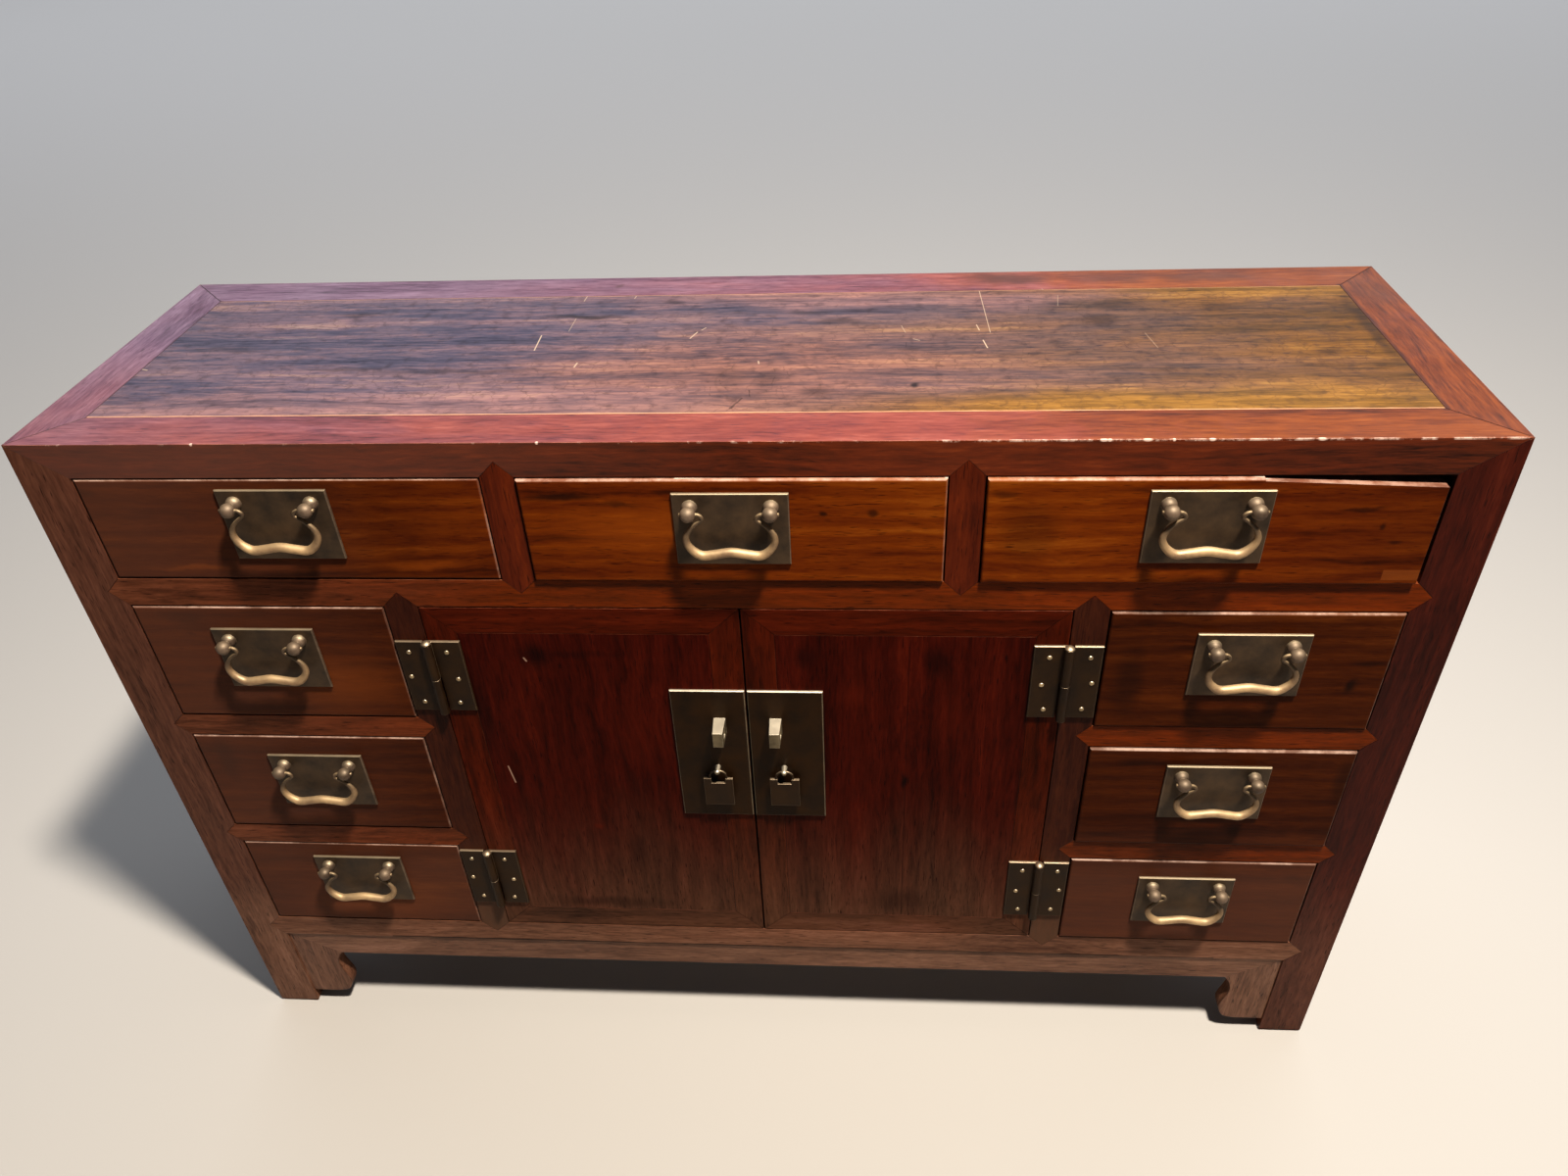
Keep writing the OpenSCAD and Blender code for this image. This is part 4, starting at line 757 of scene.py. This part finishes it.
def front_marks(tree, colour, place, level):
    """Knots, smoky cracks, a repair patch and a few dents."""
    wander = uneven(tree, place, 4.0, 30.0)
    dark = stains(tree, wander, on_front, [
        (-165, 838, 52, 7, 0.8), (-112, 829, 26, 5, 0.6), (84, 818, 6, 4, 0.8),
        (130, 822, 6, 6, 0.7), (-60, 842, 30, 4, 0.6), (572, 826, 30, 4, 0.6),
        (596, 806, 5, 5, 0.7), (611, 790, 10, 3, 0.6), (560, 770, 22, 3, 0.4),
        (617, 612, 9, 14, 0.85), (628, 640, 26, 6, 0.5), (-596, 690, 40, 12, 0.5),
        (-618, 480, 16, 50, 0.6), (250, 842, 18, 6, 0.5), (245, 740, 14, 6, 0.5),
        (-640, 845, 18, 6, 0.5), (640, 470, 14, 50, 0.5), (400, 846, 60, 4, 0.5),
        (-420, 745, 60, 5, 0.35), (420, 500, 30, 8, 0.4), (600, 330, 40, 10, 0.35),
        (392, 612, 22, 60, 0.5), (275, 800, 40, 50, 0.35)])
    colour = cover(tree, colour, dark, "#1a0a05")
    warm = stains(tree, wander, on_front, [
        (-320, 757, 60, 9, 0.35), (430, 590, 40, 8, 0.15), (-560, 752, 60, 5, 0.25),
        (-90, 800, 130, 40, 0.35), (-450, 600, 110, 60, 0.25), (-500, 225, 140, 60, 0.2)], 0.9)
    colour = cover(tree, colour, warm, "#9c5212")
    # Dust and wax dull the left end and the lowest drawers, and this grey is also a painted sheen.
    left = add(tree, "MapRange", [place.x, -0.35, -0.6, 0.0, 0.3])
    low = add(tree, "MapRange", [place.z, 0.4, 0.3, 0.0, 0.28])
    colour = cover(tree, colour, strongest(tree, [left, low]), "#7a5648")
    # The patch let into the lower right corner of the worn drawer front is a plain oblong.
    patch = PATCH_POWER
    for axis, start, end in (("x", 608, 644), ("z", 745, 757)):
        off = from_middle(tree, place, axis, start * MM, end * MM)
        within = add(tree, "Math LESS_THAN", [off, (end - start) / 2 * MM])
        patch = add(tree, "Math MULTIPLY", [patch, within])
    colour = cover(tree, colour, patch, "#8a4f22")
    # Pale marks: bits of white paint, and painted highlights on upper edges of the top row and the
    # left edge.
    pale = scratches(tree, place.whole, on_front, [
        ((-644, 858), (-636, 860), 2.4, 0.8), ((-652, 800), (-651, 745), 1.6, 0.4),
        ((369, 610), (370, 595), 2.6, 0.8), ((372, 590), (373, 583), 2.0, 0.7),
        ((472, 855), (489, 856), 2.6, 0.9), ((-55, 857), (-10, 858), 2.0, 0.8),
        ((196, 857), (205, 856), 2.2, 0.7), ((-652, 368), (-640, 366), 1.8, 0.5)])
    return cover(tree, colour, pale, "#f0dfd0")


varnished_wood(
    [name + "_front" for name in DRAWERS], "amber_varnished_elm",
    "#341102 #5a2404 #713505 #884a10", "#170903 #2d1104 #3d1a06 #51280c", smoked_parts,
    pith=(0.0, 0.05, -0.25), rings_share=0.1, ring_mm=18.0, contrast=0.25, edge_wear_and_highlight=lit_and_worn_upper_edges,
    wear_and_highlight_tone="#e2c6b6", wear_and_highlight_share=0.5, grime_and_gap_shade=0.5, gloss=0.04, coat=0.03, edge_mm=0.7,
    marks=front_marks)

# %% Doors
DUST_AND_SHEEN_TONES = "#3a2a20 #5e4636 #705642 #84695a"


def dust_and_floor_sheen(tree, place, cloud):
    """Rises towards the bottom of the doors."""
    # The grey towards the bottom is dust and a painted sheen of the pale floor in the varnish.
    height = add(tree, "Math MULTIPLY_ADD", [cloud, 0.2, place.z])
    return add(tree, "MapRange", [height, 0.56, 0.22, 0.0, 0.6], interpolation_type="SMOOTHSTEP")


def door_marks(tree, colour, place, level):
    """Smoky patches, a knot, the seam between two boards and a few pale nicks."""
    wander = uneven(tree, place, 5.0, 24.0)
    dark = stains(tree, wander, on_front, [
        (-226, 640, 26, 30, 0.7), (62, 640, 22, 24, 0.5), (196, 634, 20, 34, 0.6),
        (-296, 560, 14, 90, 0.5), (300, 430, 14, 120, 0.45), (164, 462, 5, 17, 0.9),
        (-190, 640, 90, 8, 0.35), (-24, 560, 10, 90, 0.35), (-150, 330, 20, 50, 0.3),
        (170, 250, 60, 30, 0.35), (-200, 236, 110, 14, 0.4)], 0.85)
    colour = cover(tree, colour, dark, "#120403")
    seam = scratches(tree, place.whole, on_front, [((168, 225), (168, 655), 1.2, 0.45)])
    colour = cover(tree, colour, seam, "#120403")
    red = stains(tree, wander, on_front, [
        (-190, 374, 7, 8, 0.5), (210, 560, 30, 60, 0.25), (-130, 520, 26, 70, 0.25),
        (110, 590, 20, 26, 0.3)], 0.9)
    colour = cover(tree, colour, red, "#5e1c0a")
    pale = scratches(tree, place.whole, on_front, [
        ((-285, 474), (-281, 448), 1.6, 0.6), ((-238, 636), (-236, 632), 2.0, 0.5),
        ((-2, 300), (-2, 270), 1.2, 0.4)])
    return cover(tree, colour, pale, "#c4a490")


varnished_wood(
    ["left_door_panel", "right_door_panel"], "dark_varnished_elm",
    "#190402 #340a02 #471206 #5a1d0b", DUST_AND_SHEEN_TONES, dust_and_floor_sheen, along="Z", rings_share=0.08,
    fibre_share=0.6, streak_share=0.4, contrast=0.3, edge_wear_and_highlight=lit_and_worn_upper_edges, wear_and_highlight_tone="#8a5038",
    grime_and_gap_shade=0.5, gloss=0.03, coat=0.02, marks=door_marks)


def level_members(low, high):
    """A mask that is 1 on the top and bottom rails of the door frame between two corners."""
    def mask(tree, place):
        return nearer(tree, place, ("z", low.z, high.z, 1.0), ("x", low.x, high.x, 1.0))
    return mask


for side in ("left", "right"):
    turned = level_members(*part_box(side + "_door_frame"))
    varnished_wood(
        [side + "_door_frame"], "dark_varnished_elm_frame_" + side,
        "#1d0702 #3e1304 #521b07 #66270d", DUST_AND_SHEEN_TONES, dust_and_floor_sheen, along="Z",
        turns=[("X", turned)], rings_share=0.04, edge_wear_and_highlight=lit_and_worn_upper_edges, wear_and_highlight_tone="#a8644a",
        wear_and_highlight_share=0.7, grime_and_gap_shade=0.5, gloss=0.03, coat=0.02)

# %% Inside and back
varnished_wood(
    ["base_board", "partitions", "drawer_runners", *[name + "_box" for name in DRAWERS]],
    "dry_bare_pine", "#5c4128 #7a5a38 #94724a #a88559", along="Y", coat=0.0, gloss=0.2,
    rough=(0.6, 0.8), grime_and_gap_shade=0.3)
varnished_wood(
    ["back_panels"], "thinly_stained_pine", "#38220f #4c3019 #5e3e24 #70502f", coat=0.0,
    gloss=0.2, rough=(0.55, 0.75), grime_and_gap_shade=0.3)

# %% [markdown]
# ## Old brass
# The fittings are cast and rolled brass. The plates were chemically darkened and have gone
# olive-brown, the handles and lock posts are rubbed bright where hands touch them. Faces that are
# turned up get the same pale colour as a painted highlight of the lamp above. Brass is a metal, so
# its colour sits in the reflection, and the shader's default IOR stays. The dull film of oxide
# over it isn't metal: it scatters light, so shadows show on it. Metallic is 1 only where the brass
# is worn bare and where it gets the painted highlight.

# %% Brass with patina and rubbed edges
def old_brass(
        name, tones, rubbed_and_lit, rough, edge_mm=0.8, lit_from_above_share=0.9, posts=None, post_from=0.0,
        post_highlight_share=1.0, film=0.6, gloss=0.5, grip=None):
    """Brass whose patina is worn through on edges and on what stands far out.

    Faces turned up get the same pale colour, as a painted highlight.
    """
    material, tree, shader = new_material(name, Specular_IOR_Level=gloss)
    place = object_place(tree)
    cloud = add(tree, "TexNoise", {
        "Vector": place.whole, "Scale": 38.0, "Detail": 6.0, "Roughness": 0.62})
    speck = add(tree, "TexNoise", {"Vector": place.whole, "Scale": 420.0, "Detail": 3.0})
    colour = ramp_of(tree, add(tree, "MapRange", [cloud, 0.3, 0.7]), tones)
    patchy = add(tree, "MapRange", [cloud, 0.35, 0.65])
    rounded, edge = rounded_edges(tree, edge_mm, 0.998, 0.9, 0.3)
    tilt = add(tree, "SeparateXYZ", [rounded])
    # Faces turned up: a painted highlight of the lamp above, in the worn colour.
    facing_up_lit = add(tree, "MapRange", [tilt.outputs["Z"], 0.35, 0.7, 0.0, lit_from_above_share])
    if posts:
        # The sides of what stands out, and all that is further out than post_from.
        flat = add(tree, "SeparateXYZ", [add(tree, "NewGeometry").outputs["Normal"]])
        start = FACE_Y - post_from * MM
        out = add(tree, "MapRange", [place.y, start, start - 1.0 * MM])
        turned_away = add(tree, "MapRange", [flat.outputs["Y"], -0.98, -0.93, 0.0, 0.8])
        colour = cover(tree, colour, strongest(tree, [out, turned_away]),
                       ramp_of(tree, patchy, posts))
        less = add(tree, "MapRange", [out, 0.0, 1.0, 1.0, post_highlight_share])
        facing_up_lit = add(tree, "Math MULTIPLY", [facing_up_lit, less])
    if grip:
        # A thick grip is rubbed bright by hands, the thin arms are not.
        thick = add(tree, "Attribute", attribute_name="thickness").outputs["Fac"]
        held = add(tree, "MapRange", [thick, 2.6 * MM, 4.4 * MM])
        colour = cover(tree, colour, held, ramp_of(tree, patchy, grip))
    bare_and_lit = strongest(tree, [edge, facing_up_lit])
    bump = add(tree, "Bump", {
        "Strength": 0.15, "Distance": 0.0003, "Height": speck, "Normal": rounded})
    feed(tree, shader, {
        "Base Color": cover(tree, colour, bare_and_lit, rubbed_and_lit),
        "Metallic": add(tree, "MapRange", [bare_and_lit, 0.0, 1.0, 1.0 - film, 1.0]),
        "Roughness": add(tree, "MapRange", [cloud, 0.3, 0.7, rough[0], rough[1]]),
        "Normal": bump})
    return material


plate_brass = old_brass(
    "dark_patinated_brass", "#2e241a #564431", "#b4a68e", (0.52, 0.66), posts="#4a3c31 #7a6858",
    post_from=8.0, post_highlight_share=0.25)
lock_brass = old_brass(
    "dark_patinated_brass_lock", "#1d1003 #331f08", "#efe6d2", (0.44, 0.6), film=0.75,
    gloss=0.15, posts="#4f4636 #7a6e58", post_from=9.0)
hinge_brass = old_brass(
    "dark_patinated_brass_hinge", "#1e1207 #362410", "#b8a68e", (0.42, 0.58), film=0.75,
    gloss=0.2)
bail_brass = old_brass(
    "hand_worn_brass", "#44372b #6e5b46", "#d6c09a", (0.52, 0.64), edge_mm=0.4, film=0.65,
    lit_from_above_share=0.35, grip="#8c7258 #c2a47c")
nail_brass = old_brass(
    "hammered_brass_nail", "#7d6c54 #b5a180", "#e8d8bc", (0.35, 0.5), edge_mm=0.3, film=0.3)
dress(plate_brass, [name + "_plate" for name in DRAWERS])
dress(lock_brass, ["left_lock_plate", "right_lock_plate"])
dress(hinge_brass, ["frame_hinge_leaves", "left_door_hinge_leaves", "right_door_hinge_leaves",
                    "left_pull_tab", "right_pull_tab"])

# %% [markdown]
# ## Smooth bails
# A bail is a cast brass handle: thin hooked ends that turn in the balls, arms that swing out,
# and a thick wavy grip. So it is a tube along a line, with its own thickness at each point. The
# line is the one that the solid model uses. Geometry Nodes make the tube: the mesh line becomes
# a curve, and a circle runs along it, as large as the points say.

# %% Bails from a line with thickness
POST_X = 38.5
BALL_D = 15.0
GRIP_R = 4.6
ARM_R = 1.55
PIN_R = 2.0
DROP = 46.0
BALL_IN = POST_X - BALL_D / 2
TIP = BALL_D / 2 + 1.3
TUBE_SIDES = 20
STEPS = 5
# One half of a bail: x and z from the axis of the pin, and how thick it is from arm to grip.
HALF_BAIL = [(0, -DROP * 0.92, 1), (POST_X * 0.39, -DROP * 0.97, 1), (POST_X - 10.7, -DROP, 1),
             (POST_X - 2, -DROP * 0.88, 0.84), (POST_X + 3, -DROP * 0.71, 0.66),
             (POST_X + 3.5, -DROP * 0.54, 0.5), (POST_X - 0.4, -DROP * 0.37, 0.3),
             (POST_X - 6.3, -DROP * 0.235, 0.12), (BALL_IN - 5.2, -6, 0.1),
             (BALL_IN - 4.3, -2.1, 0.15), (BALL_IN - 1.4, 0, 0.1), (BALL_IN + 1, 0, 0)]


def smooth_line(points, steps):
    """A smooth line through points of any number of values (Catmull-Rom)."""
    line = []
    last = len(points) - 1
    for i in range(last):
        p, q, r, s = (points[max(i - 1, 0)], points[i], points[i + 1], points[min(i + 2, last)])
        for k in range(steps):
            t = k / steps
            line.append([(2 * b + (c - a) * t + (2 * a - 5 * b + 4 * c - d) * t * t
                          + (3 * b - a - 3 * c + d) * t ** 3) / 2
                         for a, b, c, d in zip(p, q, r, s)])
    return line + [list(points[last])]


def new_maker(name, **inputs):
    """A Geometry Nodes tree with named inputs, its given sockets and their identifiers."""
    tree = bpy.data.node_groups.new(name, "GeometryNodeTree")
    for in_out in ("INPUT", "OUTPUT"):
        tree.interface.new_socket("Geometry", in_out=in_out, socket_type="NodeSocketGeometry")
    made = [tree.interface.new_socket(key.replace("_", " "), in_out="INPUT",
                                      socket_type="NodeSocket" + kind)
            for key, kind in inputs.items()]
    return tree, add(tree, "NodeGroupInput").outputs, [socket.identifier for socket in made]


def finish_maker(tree, geometry, material):
    """The last nodes of a tree: smooth, real geometry with its material."""
    soft = add(tree, "GeometryNodeSetShadeSmooth", {"Geometry": geometry, "Shade Smooth": True})
    real = add(tree, "GeometryNodeRealizeInstances", {"Geometry": soft})
    done = add(tree, "GeometryNodeSetMaterial", {"Geometry": real, "Material": material})
    add(tree, "NodeGroupOutput", {"Geometry": done})


def tube_tree(material):
    """Geometry Nodes: a tube along every line of the mesh, as thick as its points say."""
    tree, given, identifiers = new_maker("tube_on_a_line", Sides="Int")
    line = add(tree, "GeometryNodeMeshToCurve", {"Mesh": given["Geometry"]})
    thick = add(tree, "GeometryNodeInputNamedAttribute", {"Name": "thickness"}, data_type="FLOAT")
    ring = add(tree, "GeometryNodeCurvePrimitiveCircle", {
        "Resolution": given["Sides"], "Radius": 1.0}, mode="RADIUS")
    tube = add(tree, "GeometryNodeCurveToMesh", {
        "Curve": line, "Profile Curve": ring, "Scale": thick, "Fill Caps": True})
    finish_maker(tree, tube, material)
    return tree, *identifiers


def plain_mesh_of(name, mesh, tree, inputs):
    """Runs a tree on a mesh and returns the result as a plain mesh object."""
    worker = bpy.data.objects.new(name + "_worker", mesh)
    bpy.context.scene.collection.objects.link(worker)
    modifier = worker.modifiers.new("maker", "NODES")
    modifier.node_group = tree
    for identifier, value in inputs.items():
        modifier[identifier] = value
    bpy.context.view_layer.update()
    made = bpy.data.meshes.new_from_object(
        worker.evaluated_get(bpy.context.evaluated_depsgraph_get()))
    made.name = name
    bpy.data.objects.remove(worker)
    piece = bpy.data.objects.new(name, made)
    bpy.context.scene.collection.objects.link(piece)
    return piece


tube_maker, sides_input = tube_tree(bail_brass)
half = [(x, z, ARM_R + share * (GRIP_R - ARM_R)) for x, z, share in HALF_BAIL]
whole = [(-x, z, r) for x, z, r in reversed(half[1:])] + half
bail_line = smooth_line(whole, STEPS)
pin_ends = [(-TIP, PIN_R * 0.6), (0.5 - TIP, PIN_R), (TIP - 0.5, PIN_R), (TIP, PIN_R * 0.6)]
for name in DRAWERS:
    pivot = Vector(joints[name + "_bail_swing"]["pos_m"])
    pins = [[(middle + dx, 0.0, r) for dx, r in pin_ends] for middle in (-POST_X, POST_X)]
    points, edges, radii = [], [], []
    for line in (bail_line, *pins):
        first = len(points)
        points += [pivot + Vector((x, 0, z)) * MM for x, z, r in line]
        radii += [r * MM for x, z, r in line]
        edges += [(first + k, first + k + 1) for k in range(len(line) - 1)]
    wire = bpy.data.meshes.new(name + "_bail_line")
    wire.from_pydata(points, edges, [])
    wire.attributes.new("thickness", "FLOAT", "POINT").data.foreach_set("value", radii)
    bail = plain_mesh_of(name + "_smooth_bail", wire, tube_maker, {sides_input: TUBE_SIDES})
    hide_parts(name + "_bail")
    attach(bail, name + "_pull")
print("bails:", len(DRAWERS), "faces each:", len(bail.data.polygons))

# %% [markdown]
# ## Hinge nails
# Each hinge leaf is held by three small brass nails with domed heads. They are all the same, so
# Geometry Nodes put one dome on every point of a small cloud. There is one cloud for each body,
# because the leaves of the doors turn.

# %% Domed nails on the hinge leaves
NAIL_D = 5.5
NAIL_H = 1.4
HINGE_H = 97
LEAF_T = 3
FRAME_NAILS = [(-22.5, 34), (-27.5, 0), (-21, -36)]
DOOR_NAILS = [(18.5, 34), (23.5, -3), (18.5, -37)]


def nail_tree(material):
    """Geometry Nodes: a low dome on every point, facing the front."""
    tree, given, identifiers = new_maker("nails_on_points", Head_Width="Float",
                                         Head_Height="Float")
    width, height = given["Head Width"], given["Head Height"]
    size = add(tree, "CombineXYZ", [width, height, width])
    ball = add(tree, "GeometryNodeMeshUVSphere", {"Segments": 16, "Rings": 10, "Radius": 1.0})
    dome = add(tree, "GeometryNodeTransform", {"Geometry": ball, "Scale": size})
    points = add(tree, "GeometryNodeMeshToPoints", {"Mesh": given["Geometry"]})
    nails = add(tree, "GeometryNodeInstanceOnPoints", {"Points": points, "Instance": dome})
    finish_maker(tree, nails, material)
    return tree, *identifiers


nail_maker, width_input, height_input = nail_tree(nail_brass)
plate_front = FACE_Y - LEAF_T * MM
clouds = {"cabinet": [], "left_door": [], "right_door": []}
for side, way in (("left", 1), ("right", -1)):
    axis = Vector(joints[side + "_door_swing"]["pos_m"])
    low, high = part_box(side + "_door_hinge_leaves")
    spread = ((high.z - low.z) - HINGE_H * MM) / 2
    for level in (axis.z - spread, axis.z + spread):
        for body, offsets in (("cabinet", FRAME_NAILS), (side + "_door", DOOR_NAILS)):
            clouds[body] += [(axis.x + way * x * MM, plate_front, level + z * MM)
                             for x, z in offsets]
for body, spots in clouds.items():
    cloud_mesh = bpy.data.meshes.new(body + "_nail_points")
    cloud_mesh.from_pydata(spots, [], [])
    piece = plain_mesh_of(body + "_hinge_nails", cloud_mesh, nail_maker,
                          {width_input: NAIL_D / 2 * MM, height_input: NAIL_H * MM})
    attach(piece, body)
    print(body, "nails:", len(spots), "faces:", len(piece.data.polygons))
